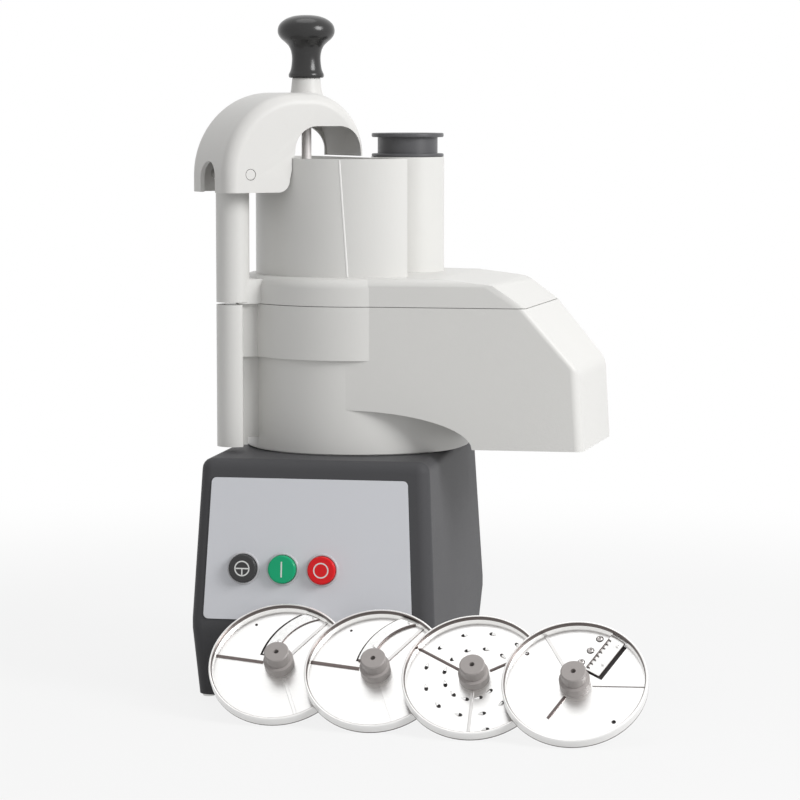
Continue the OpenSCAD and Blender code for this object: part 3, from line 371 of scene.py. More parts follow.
def turned_steel(name, colour, roughness, metal=1.0):
    """Ground or turned bar: fine rings that follow the height."""
    finish = Finish(name)
    stretch = finish.node(
        "ShaderNodeMapping", {}, {"Vector": finish.coords, "Scale": (40.0, 40.0, 2600.0)}
    )
    rings = finish.noise(1.0, 3.0, stretch)
    tint = finish.mix(rings, shade(colour, 0.9), shade(colour, 1.06))
    return finish.surface(
        Base_Color=tint, Metallic=metal, Roughness=roughness + (rings - 0.5) * 0.14,
        Normal=finish.bump(rings, 0.08, 0.0002)
    )


plated_screw = turned_steel("plated screw steel", (0.56, 0.56, 0.55), 0.32)
dress("base_plate", painted_steel("bottom plate paint", (0.16, 0.16, 0.165)), 0.0004, 2)
foot_rubber = rubber("black foot rubber", (0.022, 0.022, 0.023))
dress("rubber_feet", foot_rubber, 0.0005, 2)
dress("foot_screws", plated_screw, 0.0003, 2)
dress("housing_screws", plated_screw, 0.0003, 2)


# Control panel
# A thin light blue-grey sheet with rounded corners, bonded to the sloping front.
def satin_film(name, colour):
    finish = Finish(name)
    fine = finish.noise(2200.0)
    drift = finish.noise(7.0)
    tint = finish.mix(drift, shade(colour, 0.975), shade(colour, 1.02))
    return finish.surface(
        Base_Color=tint, Roughness=0.36 + fine * 0.10, Normal=finish.bump(fine, 0.12, 0.0002)
    )


dress("control_panel", satin_film("panel film", (0.64, 0.65, 0.685)), 0.0003, 2)


# Push buttons
# Gloss moulded caps, each in a thin light ring, with a pale sign inlaid in the cap:
# a split ring for pulse on black, a bar for start on green and a ring for stop on red.
def gloss_plastic(name, colour, roughness=0.18, shine=0.22):
    finish = Finish(name)
    wear = finish.noise(35.0, 4.0)
    ripple = finish.noise(240.0)
    tint = finish.mix(wear, shade(colour, 0.93), shade(colour, 1.05))
    return finish.surface(
        Base_Color=tint, Roughness=roughness + (wear - 0.5) * 0.10, Specular_IOR_Level=shine,
        Normal=finish.bump(ripple, 0.03, 0.0003)
    )


def cap_face(node):
    """Place and turn of the flat face of a button cap: x right, y up the panel, z outwards."""
    mesh = nodes[node].data
    out = max(mesh.polygons, key=lambda face: -face.normal.y * face.area).normal
    right = Vector((1, 0, 0))
    up = out.cross(right)
    front = max(vertex.co.dot(out) for vertex in mesh.vertices)
    face = [vertex.co for vertex in mesh.vertices if vertex.co.dot(out) > front - TOUCH]
    place = out * front
    for axis in (right, up):
        reach = [co.dot(axis) for co in face]
        place += axis * (min(reach) + max(reach)) / 2
    turn = Matrix((right, up, out)).transposed().to_4x4()
    return Matrix.Translation(place) @ turn


def piece_from(work, name, *finishes):
    """Puts what was drawn into the scene as a piece with its finishes."""
    mesh = bpy.data.meshes.new(name)
    work.to_mesh(mesh)
    work.free()
    for finish in finishes:
        mesh.materials.append(finish)
    return put_in_scene(name, mesh)


def slab(work, outer, inner, low, high):
    """A flat raised shape between two outlines, or inside one when there is no inner."""
    rings = []
    for line in (outer, inner or []):
        for z in (low, high):
            rings.append([work.verts.new((x, y, z)) for x, y in line])
    count = len(outer)
    for i in range(count):
        j = (i + 1) % count
        work.faces.new((rings[0][i], rings[0][j], rings[1][j], rings[1][i]))
        if inner:
            work.faces.new((rings[1][i], rings[1][j], rings[3][j], rings[3][i]))
            work.faces.new((rings[3][i], rings[3][j], rings[2][j], rings[2][i]))
    if not inner:
        work.faces.new(rings[1])


def circle_line(radius, count=72):
    return [
        (radius * math.cos(math.tau * i / count), radius * math.sin(math.tau * i / count))
        for i in range(count)
    ]


def bar_line(x, y, width, height):
    return [
        (x - width / 2, y - height / 2), (x + width / 2, y - height / 2),
        (x + width / 2, y + height / 2), (x - width / 2, y + height / 2)
    ]


SIGN_R = 0.0062
SIGN_LINE = 0.0010
SIGN_SINK = -0.00008
SIGN_PROUD = 0.00006
sign_white = gloss_plastic("pale sign inlay", (0.72, 0.73, 0.72), 0.3)
sign_ring = (circle_line(SIGN_R), circle_line(SIGN_R - SIGN_LINE))
crossbar = (bar_line(0, 0, 2 * SIGN_R - SIGN_LINE, SIGN_LINE), None)
drop = (bar_line(0, -SIGN_R / 2, SIGN_LINE, SIGN_R - SIGN_LINE), None)
upright = (bar_line(0, 0, SIGN_LINE * 1.1, 2 * SIGN_R), None)
signs = {
    "pulse_button": (sign_ring, crossbar, drop),
    "start_button": (upright,),
    "stop_button": (sign_ring,),
}
caps = {
    "pulse_button": gloss_plastic("black button cap", (0.046, 0.046, 0.048)),
    "start_button": gloss_plastic("green button cap", (0.003, 0.37, 0.165)),
    "stop_button": gloss_plastic("red button cap", (0.70, 0.008, 0.012)),
}
dress("button_rings", gloss_plastic("light button ring", (0.54, 0.54, 0.56), 0.25), 0.0002, 2)
for button, cap in caps.items():
    dress(button, cap, 0.0004, 3)
    work = bmesh.new()
    for outer, inner in signs[button]:
        slab(work, outer, inner, SIGN_SINK, SIGN_PROUD)
    work.transform(cap_face(button))
    sign = piece_from(work, button + "_sign", sign_white)
    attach(sign, nodes[button]["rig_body"])


# Motor
# Stacked laminations and a copper winding, clamped by bolts between two cast end bells.
# The rotor is pressed on its ground shaft, which runs in two bearings and carries the fan.
def cast_alloy(name, colour):
    finish = Finish(name)
    sand = finish.noise(420.0, 4.0)
    tint = finish.mix(sand, shade(colour, 0.85), shade(colour, 1.08))
    return finish.surface(
        Base_Color=tint, Metallic=1.0, Roughness=0.45 + sand * 0.2,
        Normal=finish.bump(sand, 0.3, 0.0004)
    )


def stacked_sheets(name, colour):
    finish = Finish(name)
    sheets = finish.node(
        "ShaderNodeTexWave", {"wave_type": "BANDS", "bands_direction": "Z"},
        {"Vector": finish.coords, "Scale": 310.0, "Distortion": 0.4}, "Fac"
    )
    tint = finish.mix(sheets, shade(colour, 0.6), shade(colour, 1.1))
    return finish.surface(
        Base_Color=tint, Metallic=1.0, Roughness=0.5 + sheets * 0.1,
        Normal=finish.bump(sheets, 0.4, 0.0004)
    )


def wound_wire(name, colour):
    finish = Finish(name)
    strands = finish.node(
        "ShaderNodeTexWave", {"wave_type": "RINGS", "rings_direction": "Z"},
        {"Vector": finish.coords, "Scale": 300.0, "Distortion": 2.5}, "Fac"
    )
    tint = finish.mix(strands, shade(colour, 0.45), shade(colour, 1.1))
    return finish.surface(
        Base_Color=tint, Metallic=0.8, Roughness=0.35 + strands * 0.1,
        Normal=finish.bump(strands, 0.5, 0.0006)
    )


ground_steel = turned_steel("ground shaft steel", (0.62, 0.62, 0.61), 0.24)
bell_alloy = cast_alloy("cast end bell", (0.55, 0.56, 0.57))
core_steel = stacked_sheets("stacked core steel", (0.32, 0.32, 0.34))
dress("lower_end_bell", bell_alloy, 0.0005, 2)
dress("upper_end_bell", bell_alloy, 0.0005, 2)
dress("stator_core", core_steel)
dress("stator_windings", wound_wire("varnished copper", (0.62, 0.24, 0.08)))
dress("rotor_core", core_steel)
dress("motor_bolts", plated_screw)
dress("lower_bearing", ground_steel)
dress("upper_bearing", ground_steel)
dress("motor_shaft", ground_steel, 0.0003, 2)
dress("cooling_fan", moulded_plastic("fan plastic", (0.10, 0.10, 0.105), 0.5, 1200.0, 0.2))


# Electrics
# Switch block behind the buttons, relay board on stand-offs and run capacitor in its drawn can.
# The reed switch sits under the housing top, and the cord gland in the rear wall.
black_plastic = moulded_plastic("black fitting plastic", (0.026, 0.026, 0.027), 0.45, 1400.0, 0.25)
switch_plastic = moulded_plastic("switch plastic", (0.66, 0.66, 0.63), 0.4, 1200.0, 0.2)
dress("switch_block", switch_plastic, 0.0006)
dress("control_board", moulded_plastic("board green", (0.012, 0.15, 0.06), 0.3, 900.0, 0.3))
dress("run_capacitor", turned_steel("drawn aluminium can", (0.72, 0.72, 0.73), 0.3), 0.001)
dress("reed_switch", black_plastic, 0.0006)
dress("cord_gland", black_plastic, 0.0006)


# Bowl with discharge chute
# Off-white moulding: round chamber, flat-sided chute with an arch under it, half a guide column.
# The chute has generous radii where its front, end and slope meet; a groove sets off the column.
HEAD_TURN = math.radians(39)
CHUTE_FRONT = -91.7
CHUTE_TURN = math.radians(4)
CHUTE_KNEE = (195.0, 267.0)
CHUTE_FOOT = (199.0, 202.0)
CHUTE_SEAM = (152.9, 315.0)
CORNER_REACH = 0.6
CROSS_LENGTH = 50


def chute_corner(end, corner):
    """Whether a point lies on a corner line of the turned chute end, given as x and z in front."""
    x = end.x - (end.y - CHUTE_FRONT) * math.tan(CHUTE_TURN)
    return abs(x - corner[0]) < CORNER_REACH and abs(end.z - corner[1]) < CORNER_REACH


def chute_edge(lower, upper, front):
    """Picks the edge between two corner lines, on the front of the chute or on its rear."""

    def chosen(first, second):
        ends = sorted((first, second), key=lambda end: end.z)
        fits = chute_corner(ends[0], lower) and chute_corner(ends[1], upper)
        return fits and (first.y < 0) == front and first.y * second.y > 0

    return chosen


def cross_edge(corner):
    """Picks the edge that runs along a corner line from the front of the chute to its rear."""

    def chosen(first, second):
        fits = chute_corner(first, corner) and chute_corner(second, corner)
        return fits and abs(first.y - second.y) > CROSS_LENGTH

    return chosen


def loft(name, rings):
    """A closed solid through rings of points, with flat ends."""
    work = bmesh.new()
    loops = [[work.verts.new(point) for point in ring] for ring in rings]
    for first, second in zip(loops, loops[1:]):
        for i in range(len(first)):
            j = (i + 1) % len(first)
            work.faces.new((first[i], first[j], second[j], second[i]))
    work.faces.new(loops[0])
    work.faces.new(loops[-1])
    bmesh.ops.recalc_face_normals(work, faces=work.faces)
    return piece_from(work, name)


# Foot, head, radius of the wall and the points beside the column, with the head plane unturned
COLUMN_GROOVES = (
    (0.170, 0.272, 0.0919, [(-0.1055, 0.0008), (-0.1192, -0.0250), (-0.0885, -0.0250)]),
    (0.272, 0.3152, 0.0954, [(-0.1081, -0.0042), (-0.1192, -0.0250), (-0.0920, -0.0250)]),
)
GROOVE_STEPS = 12
grooves = []
for foot, top, wall_r, side in COLUMN_GROOVES:
    first = math.atan2(side[2][1], side[2][0])
    last = math.atan2(side[0][1], -math.sqrt(wall_r ** 2 - side[0][1] ** 2))
    span = last % math.tau - first % math.tau
    turns = [first + span * i / GROOVE_STEPS for i in range(GROOVE_STEPS + 1)]
    plan = side[:2] + [(wall_r * math.cos(turn), wall_r * math.sin(turn)) for turn in turns]
    groove = loft("column groove", [[(x, y, z) for x, y in plan] for z in (foot, top)])
    groove.data.transform(Matrix.Rotation(HEAD_TURN, 4, "Z"))
    grooves.append(groove)

bowl_white = moulded_plastic("bowl off-white", (0.69, 0.685, 0.665), 0.40, 1600.0, 0.16)
dress("bowl", bowl_white, 0.0006, 3, (
    (0.007, chute_edge(CHUTE_FOOT, CHUTE_KNEE, True)),
    (0.005, chute_edge(CHUTE_KNEE, CHUTE_SEAM, True)),
    (0.004, chute_edge(CHUTE_FOOT, CHUTE_KNEE, False)),
    (0.004, chute_edge(CHUTE_KNEE, CHUTE_SEAM, False)),
    (0.006, cross_edge(CHUTE_KNEE)),
), recesses=grooves)
dress("shaft_seal", foot_rubber)
dress("ejector_plate", bowl_white, 0.0006, 2)


# Feed lid
# Moulded in the same off-white, with the half-moon hopper, the round hopper and the upper column.
# A fine parting line of the mould runs down the front of the hopper; its lighter colour is a
# painted highlight.
LID_SEAM = (152.4, 315.5)
LID_SHOULDER = (128.0, 332.0)
LID_ROOF = (125.9, 333.5)
dress("lid", bowl_white, 0.0006, 3, (
    (0.005, chute_edge(LID_SEAM, LID_SHOULDER, True)),
    (0.004, chute_edge(LID_SEAM, LID_ROOF, False)),
    (0.006, cross_edge(LID_ROOF)),
))

HOPPER_R = 0.0845
LINE_TOP = (0.0012, 0.4322)
LINE_FOOT = (0.0077, 0.3385)
LINE_HALF = 0.0009
LINE_PROUD = 0.0003
LINE_SINK = -0.0002
LINE_STEPS = 24
# Painted highlight: the raised line is lighter than the lid, as if it caught the light.
parting_line_highlight = moulded_plastic("parting line", (0.86, 0.855, 0.84), 0.35, 1600.0, 0.1)
work = bmesh.new()
rows = []
for step in range(LINE_STEPS + 1):
    share = step / LINE_STEPS
    x = LINE_TOP[0] + (LINE_FOOT[0] - LINE_TOP[0]) * share
    z = LINE_TOP[1] + (LINE_FOOT[1] - LINE_TOP[1]) * share
    points = []
    for side, proud in ((-1, LINE_SINK), (-0.5, LINE_PROUD), (0.5, LINE_PROUD), (1, LINE_SINK)):
        off = x + side * LINE_HALF
        points.append(work.verts.new((off, -math.sqrt(HOPPER_R ** 2 - off ** 2) - proud, z)))
    rows.append(points)
for upper, lower in zip(rows, rows[1:]):
    for i in range(3):
        work.faces.new((upper[i], lower[i], lower[i + 1], upper[i + 1]))
parting_line = piece_from(work, "parting_line", parting_line_highlight)
smooth(parting_line.data)
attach(parting_line, nodes["lid"]["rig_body"])


# Small pusher
# Dark grey moulding with a waisted grip between two flanges, loose in the round hopper.
pusher_grey = moulded_plastic("pusher dark grey", (0.075, 0.075, 0.08), 0.38, 1500.0, 0.2)
dress("small_pusher", pusher_grey, 0.0003, 3)


# Pusher arm
# A whiter arched shell, open underneath, with a window and a rear notch.
# It is pinned to the guide rod and carries the half-moon pusher on a stem.
HOOD_HALF_W = 0.034
HOOD_WALL = 0.0035
HOOD_BACK = -0.137
HOOD_FRONT = -0.010
HOOD_FOOT = 0.406
HOOD_TOP = 0.486
HOOD_EDGE_R = 0.010
BACK_ARC = (-0.070, 0.067)
FRONT_ARC = (-0.060, 0.050)
LEG_FRONT = -0.080
FRONT_FOOT = 0.4346
LEG_CORNER_R = 0.010
WINDOW_TOP = 0.459
WINDOW_R = 0.020
WINDOW_BACK = LEG_FRONT + 0.005
WINDOW_FRONT = HOOD_FRONT - 0.0045
PIN_AT = (-0.115, 0.4206)
PIN_BORE_R = 0.0046
KNOB_AT = -0.0476
STEM_BORE_R = 0.0043
STEM_BORE = (0.470, 0.500)
NOTCH_R = 0.0135
NOTCH_TOP = 0.431
HOPPER_CLEAR_R = 0.0853
HOPPER_RIM = 0.433
ROUND_STEPS = 8
CUT_PAST = 0.010
CUT_SKIM = 0.001
POLE_WELD = 1e-7


def lathe(name, outline, place, *finishes, closed=False, turns=128):
    """An outline of radius and height in mm, turned about an upright axis at a place."""
    work = bmesh.new()
    rings = []
    for radius, height in outline:
        rings.append([
            work.verts.new((
                place[0] + radius * math.cos(math.tau * i / turns) / 1000,
                place[1] + radius * math.sin(math.tau * i / turns) / 1000,
                place[2] + height / 1000
            ))
            for i in range(turns)
        ])
    for lower, upper in zip(rings, rings[1:] + rings[:1] if closed else rings[1:]):
        for i in range(turns):
            j = (i + 1) % turns
            work.faces.new((lower[i], lower[j], upper[j], upper[i]))
    bmesh.ops.remove_doubles(work, verts=work.verts, dist=POLE_WELD)
    bmesh.ops.recalc_face_normals(work, faces=work.faces)
    piece = piece_from(work, name, *finishes)
    smooth(piece.data)
    return piece


def arc_line(x, z, radius, first, last, steps):
    """Points on an arc in a side view, from one angle in degrees to another."""
    turns = [math.radians(first + (last - first) * i / steps) for i in range(steps + 1)]
    return [(x + radius * math.cos(turn), z + radius * math.sin(turn)) for turn in turns]


def across(line, half):
    """A side view carried across the hood between two cheeks."""
    return [[(x, y, z) for x, z in line] for y in (-half, half)]


def hood_outline(inset, foot):
    back = arc_line(BACK_ARC[0], HOOD_TOP - BACK_ARC[1], BACK_ARC[1] - inset, 90, 180, 30)
    front = arc_line(FRONT_ARC[0], HOOD_TOP - FRONT_ARC[1], FRONT_ARC[1] - inset, 0, 90, 30)
    return [(HOOD_FRONT - inset, foot)] + front + back + [(HOOD_BACK + inset, foot)]


def upright_drum(name, x, radius, low, high):
    ring = circle_line(radius, 96)
    return loft(name, [[(x + u, v, z) for u, v in ring] for z in (low, high)])


sections = []
for step in range(ROUND_STEPS + 1):
    turn = math.radians(90 - 90 * step / ROUND_STEPS)
    y = HOOD_HALF_W - HOOD_EDGE_R * (1 - math.sin(turn))
    line = hood_outline(HOOD_EDGE_R * (1 - math.cos(turn)), HOOD_FOOT)
    sections.append((y, line))
rings = [[(x, -y, z) for x, z in line] for y, line in sections]
rings += [[(x, y, z) for x, z in line] for y, line in sections[::-1]]
hood = loft("pusher_hood", rings)
neck_line = [
    (0.0, 476.0), (16.6, 476.0), (15.6, 480.2), (14.5, 482.8), (13.5, 484.8), (12.8, 487.0),
    (12.3, 490.0), (11.5, 497.6), (11.1, 498.0), (0.0, 498.0)
]
cut(hood, lathe("neck", neck_line, (KNOB_AT, 0.0, 0.0), turns=96), "UNION")
hollow = hood_outline(HOOD_WALL, HOOD_FOOT - CUT_PAST)
cut(hood, loft("hollow", across(hollow, HOOD_HALF_W - HOOD_WALL)))
opening = [(LEG_FRONT - LEG_CORNER_R, HOOD_FOOT - CUT_PAST)]
opening += arc_line(LEG_FRONT - LEG_CORNER_R, HOOD_FOOT + LEG_CORNER_R, LEG_CORNER_R, -90, 0, 12)
opening += [(WINDOW_BACK - 0.0005, FRONT_FOOT + 0.002)]
opening += arc_line(WINDOW_BACK + WINDOW_R, WINDOW_TOP - WINDOW_R, WINDOW_R, 180, 90, 18)
opening += arc_line(WINDOW_FRONT - WINDOW_R, WINDOW_TOP - WINDOW_R, WINDOW_R, 90, 0, 18)
opening += [
    (WINDOW_FRONT, FRONT_FOOT), (HOOD_FRONT + CUT_PAST, FRONT_FOOT),
    (HOOD_FRONT + CUT_PAST, HOOD_FOOT - CUT_PAST)
]
cut(hood, loft("window", across(opening, 2 * HOOD_HALF_W)))
notch = arc_line(0.0, NOTCH_TOP - NOTCH_R, NOTCH_R, 0, 180, 24)
notch = [(NOTCH_R, HOOD_FOOT - CUT_SKIM)] + notch + [(-NOTCH_R, HOOD_FOOT - CUT_SKIM)]
notch_ends = (HOOD_BACK - CUT_SKIM, HOOD_BACK + HOOD_WALL + 2 * CUT_SKIM)
cut(hood, loft("notch", [[(x, y, z) for y, z in notch] for x in notch_ends]))
pin_ring = [(PIN_AT[0] + u, PIN_AT[1] + v) for u, v in circle_line(PIN_BORE_R, 48)]
cut(hood, loft("pin bore", across(pin_ring, 2 * HOOD_HALF_W)))
cut(hood, upright_drum("stem bore", KNOB_AT, STEM_BORE_R, *STEM_BORE))
hopper_room = (HOOD_FOOT - CUT_SKIM, HOPPER_RIM + CUT_SKIM)
cut(hood, upright_drum("hopper room", 0.0, HOPPER_CLEAR_R, *hopper_room))
soften(hood, 0.0008, 3, math.radians(40))
hood.data.transform(Matrix.Rotation(HEAD_TURN, 4, "Z"))
arm_white = moulded_plastic("arm white", (0.69, 0.683, 0.665), 0.40, 1600.0, 0.12, gloss=0.3)
hood.data.materials.clear()
hood.data.materials.append(arm_white)
even_normals(hood)
stand_for(hood, "pusher_arm")
dress("arm_pin", arm_white, 0.0004, 2)
dress("guide_rod", ground_steel, 0.0003, 2)
dress("rod_magnet", cast_alloy("ferrite magnet", (0.12, 0.12, 0.125)))
dress("pusher_stem", turned_steel("satin stem steel", (0.93, 0.89, 0.88), 0.45, 0.2))
dress("pusher_foot", bowl_white, 0.0010, 3)


# Knob
# Turned from solid dark plastic and polished: a flared foot, a waist and a mushroom head.
# It is screwed on the end of the stem, on the neck of the arm.
def flowing(points, steps):
    """A smooth line through the given points."""
    line = []
    for i in range(len(points) - 1):
        before = points[max(i - 1, 0)]
        after = points[min(i + 2, len(points) - 1)]
        start, end = points[i], points[i + 1]
        for step in range(steps):
            t = step / steps
            line.append(tuple(
                0.5 * (
                    2 * b + (c - a) * t + (2 * a - 5 * b + 4 * c - d) * t ** 2
                    + (3 * b - a - 3 * c + d) * t ** 3
                )
                for a, b, c, d in zip(before, start, end, after)
            ))
    return line + [points[-1]]


KNOB_LINE = flowing([
    (13.4, 0.02), (14.0, 0.5), (14.35, 1.3), (14.4, 2.2), (14.2, 3.3), (13.6, 4.5), (12.9, 6.2),
    (12.3, 8.8), (11.9, 12.0), (11.7, 15.8), (12.0, 19.4), (12.9, 23.0), (14.6, 26.2), (17.4, 29.0),
    (20.4, 31.6), (22.5, 34.6), (23.3, 37.9), (22.6, 41.8), (20.4, 45.0), (16.6, 47.8),
    (11.0, 49.9), (5.0, 50.8), (0.0, 51.0),
], 5)
knob_low, knob_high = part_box("knob")
knob_place = ((knob_low.x + knob_high.x) / 2, (knob_low.y + knob_high.y) / 2, knob_low.z)
knob_gloss = gloss_plastic("knob dark gloss", (0.024, 0.0235, 0.0235), 0.22, 0.42)
stand_for(lathe("knob_turned", [(0.0, 0.02)] + KNOB_LINE, knob_place, knob_gloss), "knob")


# Cutting discs
# Pressed stainless plates in rolled rims, each with three ribs and a light grey hub, in a row.
# Two carry a riveted sickle blade and one a straight knife; the grater follows by itself.
DISC_R = 0.0555
DISC_LEAN = math.radians(44)
RIM_FROM = 0.945
RIM_INSIDE = 0.966
RIM_WALL = 0.985
RIM_FOOT_SHADE_TOP = 0.0011
RIM_SHADE_TOP = 0.0052
RIM_SHADE = (0.085, 0.066, 0.062, 1.0)
SHEET_BRIGHT = (0.93, 0.925, 0.915, 1.0)
RING_TINT = (0.78, 0.77, 0.75, 1.0)
PLATE_FACE = 0.0027
PLATE_REACH = 0.94
HUB_REACH = 0.25
RIB_FROM = 0.0004
RIB_SPAN = 20
STEEP = 0.7
GROUND_FLAT = 0.96


def disc_frame(disc):
    """Place and turn of a disc, taken from its plate: x right, y up the disc, z out of its face."""
    turn = Matrix.Rotation(DISC_LEAN, 4, "X")
    flat = [turn.inverted() @ vertex.co for vertex in nodes[disc + "_plate"].data.vertices]
    spans = [[place[i] for place in flat] for i in range(3)]
    x, y = [(min(span) + max(span)) / 2 for span in spans[:2]]
    return turn @ Matrix.Translation((x, y, min(spans[2])))


def disc_steel(name, disc):
    """Polished sheet with fine turning rings; the rolled rim runs from dark to light to dark, as
    painted shade on its inner wall and at the foot of its outer wall.
    """
    finish = Finish(name)
    local = finish.node("ShaderNodeMapping", {"vector_type": "TEXTURE"}, {
        "Vector": finish.coords, "Location": disc_frame(disc).to_translation(),
        "Rotation": (DISC_LEAN, 0.0, 0.0)
    })
    x, y, z = [finish.node("ShaderNodeSeparateXYZ", {}, {0: local}, axis) for axis in "XYZ"]
    square = x * x + y * y
    radius = square.maths("SQRT", square)
    rings = finish.noise(1.0, 2.0, finish.node("ShaderNodeCombineXYZ", {}, {0: radius * 3600.0}))
    clouds = finish.noise(26.0, 2.0, local)
    # Painted shade: below a height the rim's inner wall darkens by radius, and the foot of its
    # outer wall is dark.
    rim_shade_ramp = finish.node("ShaderNodeValToRGB", {"stops": (
        (0.0, SHEET_BRIGHT), (0.10, SHEET_BRIGHT), (0.13, RIM_SHADE), (0.36, RIM_SHADE),
        (0.52, (0.80, 0.78, 0.765, 1.0)), (0.70, SHEET_BRIGHT), (1.0, SHEET_BRIGHT),
    )}, {0: (radius / DISC_R - RIM_FROM) / (1 - RIM_FROM)})
    inside = radius.maths("LESS_THAN", radius, RIM_INSIDE * DISC_R)
    wall = radius.maths("GREATER_THAN", radius, RIM_WALL * DISC_R)
    inner_wall_shade = finish.mix(inside * z.maths("LESS_THAN", z, RIM_SHADE_TOP), rim_shade_ramp, SHEET_BRIGHT)
    rim_foot_shade = finish.mix(wall * z.maths("LESS_THAN", z, RIM_FOOT_SHADE_TOP), inner_wall_shade, RIM_SHADE)
    tint = finish.mix(clouds * 0.06 + rings * 0.06, rim_foot_shade, RING_TINT)
    return finish.surface(
        Base_Color=tint, Metallic=1.0 - wall * 0.6,
        Roughness=0.26 + (rings - 0.5) * 0.10 + clouds * 0.04,
        Normal=finish.bump(rings, 0.03, 0.0001)
    )


def ground_blade(name, colour, roughness):
    finish = Finish(name)
    grain = finish.noise(320.0, 3.0)
    tint = finish.mix(grain, shade(colour, 0.93), shade(colour, 1.03))
    return finish.surface(
        Base_Color=tint, Metallic=1.0, Roughness=roughness + (grain - 0.5) * 0.12,
        Normal=finish.bump(grain, 0.04, 0.0002)
    )


hub_grey = moulded_plastic("hub light grey", (0.33, 0.305, 0.295), 0.42, 1500.0, 0.2)
blade_steel = ground_blade("ground blade steel", (0.90, 0.90, 0.89), 0.2)
# Painted shade: a dark copy of the steel for ribs, walls and blade sides out of the light.
painted_shade_steel = ground_blade("pressed rib in shade", (0.15, 0.125, 0.12), 0.35)
rib_light = ground_blade("pressed rib in light", (0.72, 0.71, 0.70), 0.3)
for disc, light_rib, double_rib in (
    ("thin_slicer", 53, 293), ("thick_slicer", 53, 293), ("julienne", 121, 1)
):
    plate = dress(disc + "_plate", disc_steel(disc + " disc steel", disc), 0.0002, 2)
    plate.data.materials.append(painted_shade_steel)
    plate.data.materials.append(rib_light)
    flat = disc_frame(disc).inverted()
    # Painted light and shade: the rib at light_rib takes the lit steel; other ribs, the sides of
    # the rib at double_rib and the walls of openings take the shaded steel.
    for face in plate.data.polygons:
        place = flat @ face.center
        if place.xy.length > PLATE_REACH * DISC_R:
            continue
        upright_face = abs((flat.to_3x3() @ face.normal).z) < STEEP
        if place.z > PLATE_FACE + RIB_FROM:
            turned = math.degrees(math.atan2(place.y, place.x))
            if abs((turned - light_rib + 180) % 360 - 180) < RIB_SPAN:
                face.material_index = 2
            elif upright_face or abs((turned - double_rib + 180) % 360 - 180) > RIB_SPAN:
                face.material_index = 1
        elif upright_face and place.xy.length > HUB_REACH * DISC_R:
            face.material_index = 1
for disc in ("thin_slicer", "thick_slicer", "grater", "julienne"):
    dress(disc + "_hub", hub_grey, 0.0006, 3)
for disc in ("thin_slicer", "thick_slicer", "julienne"):
    blade = dress(disc + "_blade", blade_steel, 0.0005, 2)
    blade.data.materials.append(painted_shade_steel)
    flat = disc_frame(disc).to_3x3().inverted()
    # Painted shade: the sides and edges of each blade take the shaded steel, as a dark outline.
    for face in blade.data.polygons:
        if abs((flat @ face.normal).z) < GROUND_FLAT:
            face.material_index = 1


# Grater plate
# Stainless sheet, turned in one piece with its rim.
# Three ribs and a spiral of hooded teeth are pressed up from it.
HUB_SEAT_R = 8.46
SHEET_LOW = 1.5
SHEET_HIGH = 2.7
RIM_IN = 53.1
RIM_OUT = 55.5
RIM_TOP = 8.7
ROLL_R = (RIM_OUT - RIM_IN) / 2
RIB_REACH = (0.01325, 0.0526)
RIB_HALF = 0.00125
RIB_H = 0.0008
RIB_STEPS = 8


class Pattern(Graph):
    """A geometry tree with named inputs that repeats one piece in the frame of a disc."""

    def __init__(self, name, **kinds):
        tree = bpy.data.node_groups.new(name, "GeometryNodeTree")
        super().__init__(tree)
        tree.interface.new_socket("Geometry", in_out="OUTPUT", socket_type="NodeSocketGeometry")
        kinds |= {
            "Count": "Int", "Piece": "Object", "Place": "Vector", "Turn": "Vector",
            "Material": "Material"
        }
        for label, kind in kinds.items():
            tree.interface.new_socket(label, in_out="INPUT", socket_type="NodeSocket" + kind)
        source = tree.nodes.new("NodeGroupInput")
        self.given = {label: Socket(self, source.outputs[label]) for label in kinds}
        self.index = self.node("GeometryNodeInputIndex", {}, {})

    def close(self, position, turn):
        """Sets the piece at each place, moves all into the disc's frame and joins them."""
        given = self.given
        dots = self.node("GeometryNodePoints", {}, {"Count": given["Count"], "Position": position})
        piece = self.node("GeometryNodeObjectInfo", {}, {"Object": given["Piece"]}, "Geometry")
        spin = self.node("ShaderNodeCombineXYZ", {}, {"Z": turn})
        copies = self.node("GeometryNodeInstanceOnPoints", {}, {
            "Points": dots, "Instance": piece, "Rotation": spin
        })
        placed = self.node("GeometryNodeTransform", {}, {
            "Geometry": copies, "Translation": given["Place"], "Rotation": given["Turn"]
        })
        solid = self.node("GeometryNodeRealizeInstances", {}, {"Geometry": placed})
        done = self.node(
            "GeometryNodeSetMaterial", {}, {"Geometry": solid, "Material": given["Material"]}
        )
        self.tree.links.new(done.out, self.tree.nodes.new("NodeGroupOutput").inputs[0])

    def make(self, name, disc, **values):
        holder = put_in_scene(name, bpy.data.meshes.new(name))
        modifier = holder.modifiers.new(self.tree.name, "NODES")
        modifier.node_group = self.tree
        frame_of = disc_frame(disc)
        values |= {"Place": frame_of.to_translation(), "Turn": frame_of.to_euler()}
        for item in self.tree.interface.items_tree:
            if item.in_out == "INPUT":
                modifier[item.identifier] = values[item.name]
        return settled(holder)


def joined(name, pieces):
    """One mesh of several pieces that keep their finishes."""
    work = bmesh.new()
    finishes = []
    for piece in pieces:
        done = len(work.faces)
        work.from_mesh(piece.data)
        work.faces.ensure_lookup_table()
        for face in work.faces[done:]:
            finish = piece.data.materials[face.material_index]
            if finish not in finishes:
                finishes.append(finish)
            face.material_index = finishes.index(finish)
        bpy.data.objects.remove(piece)
    return piece_from(work, name, *finishes)


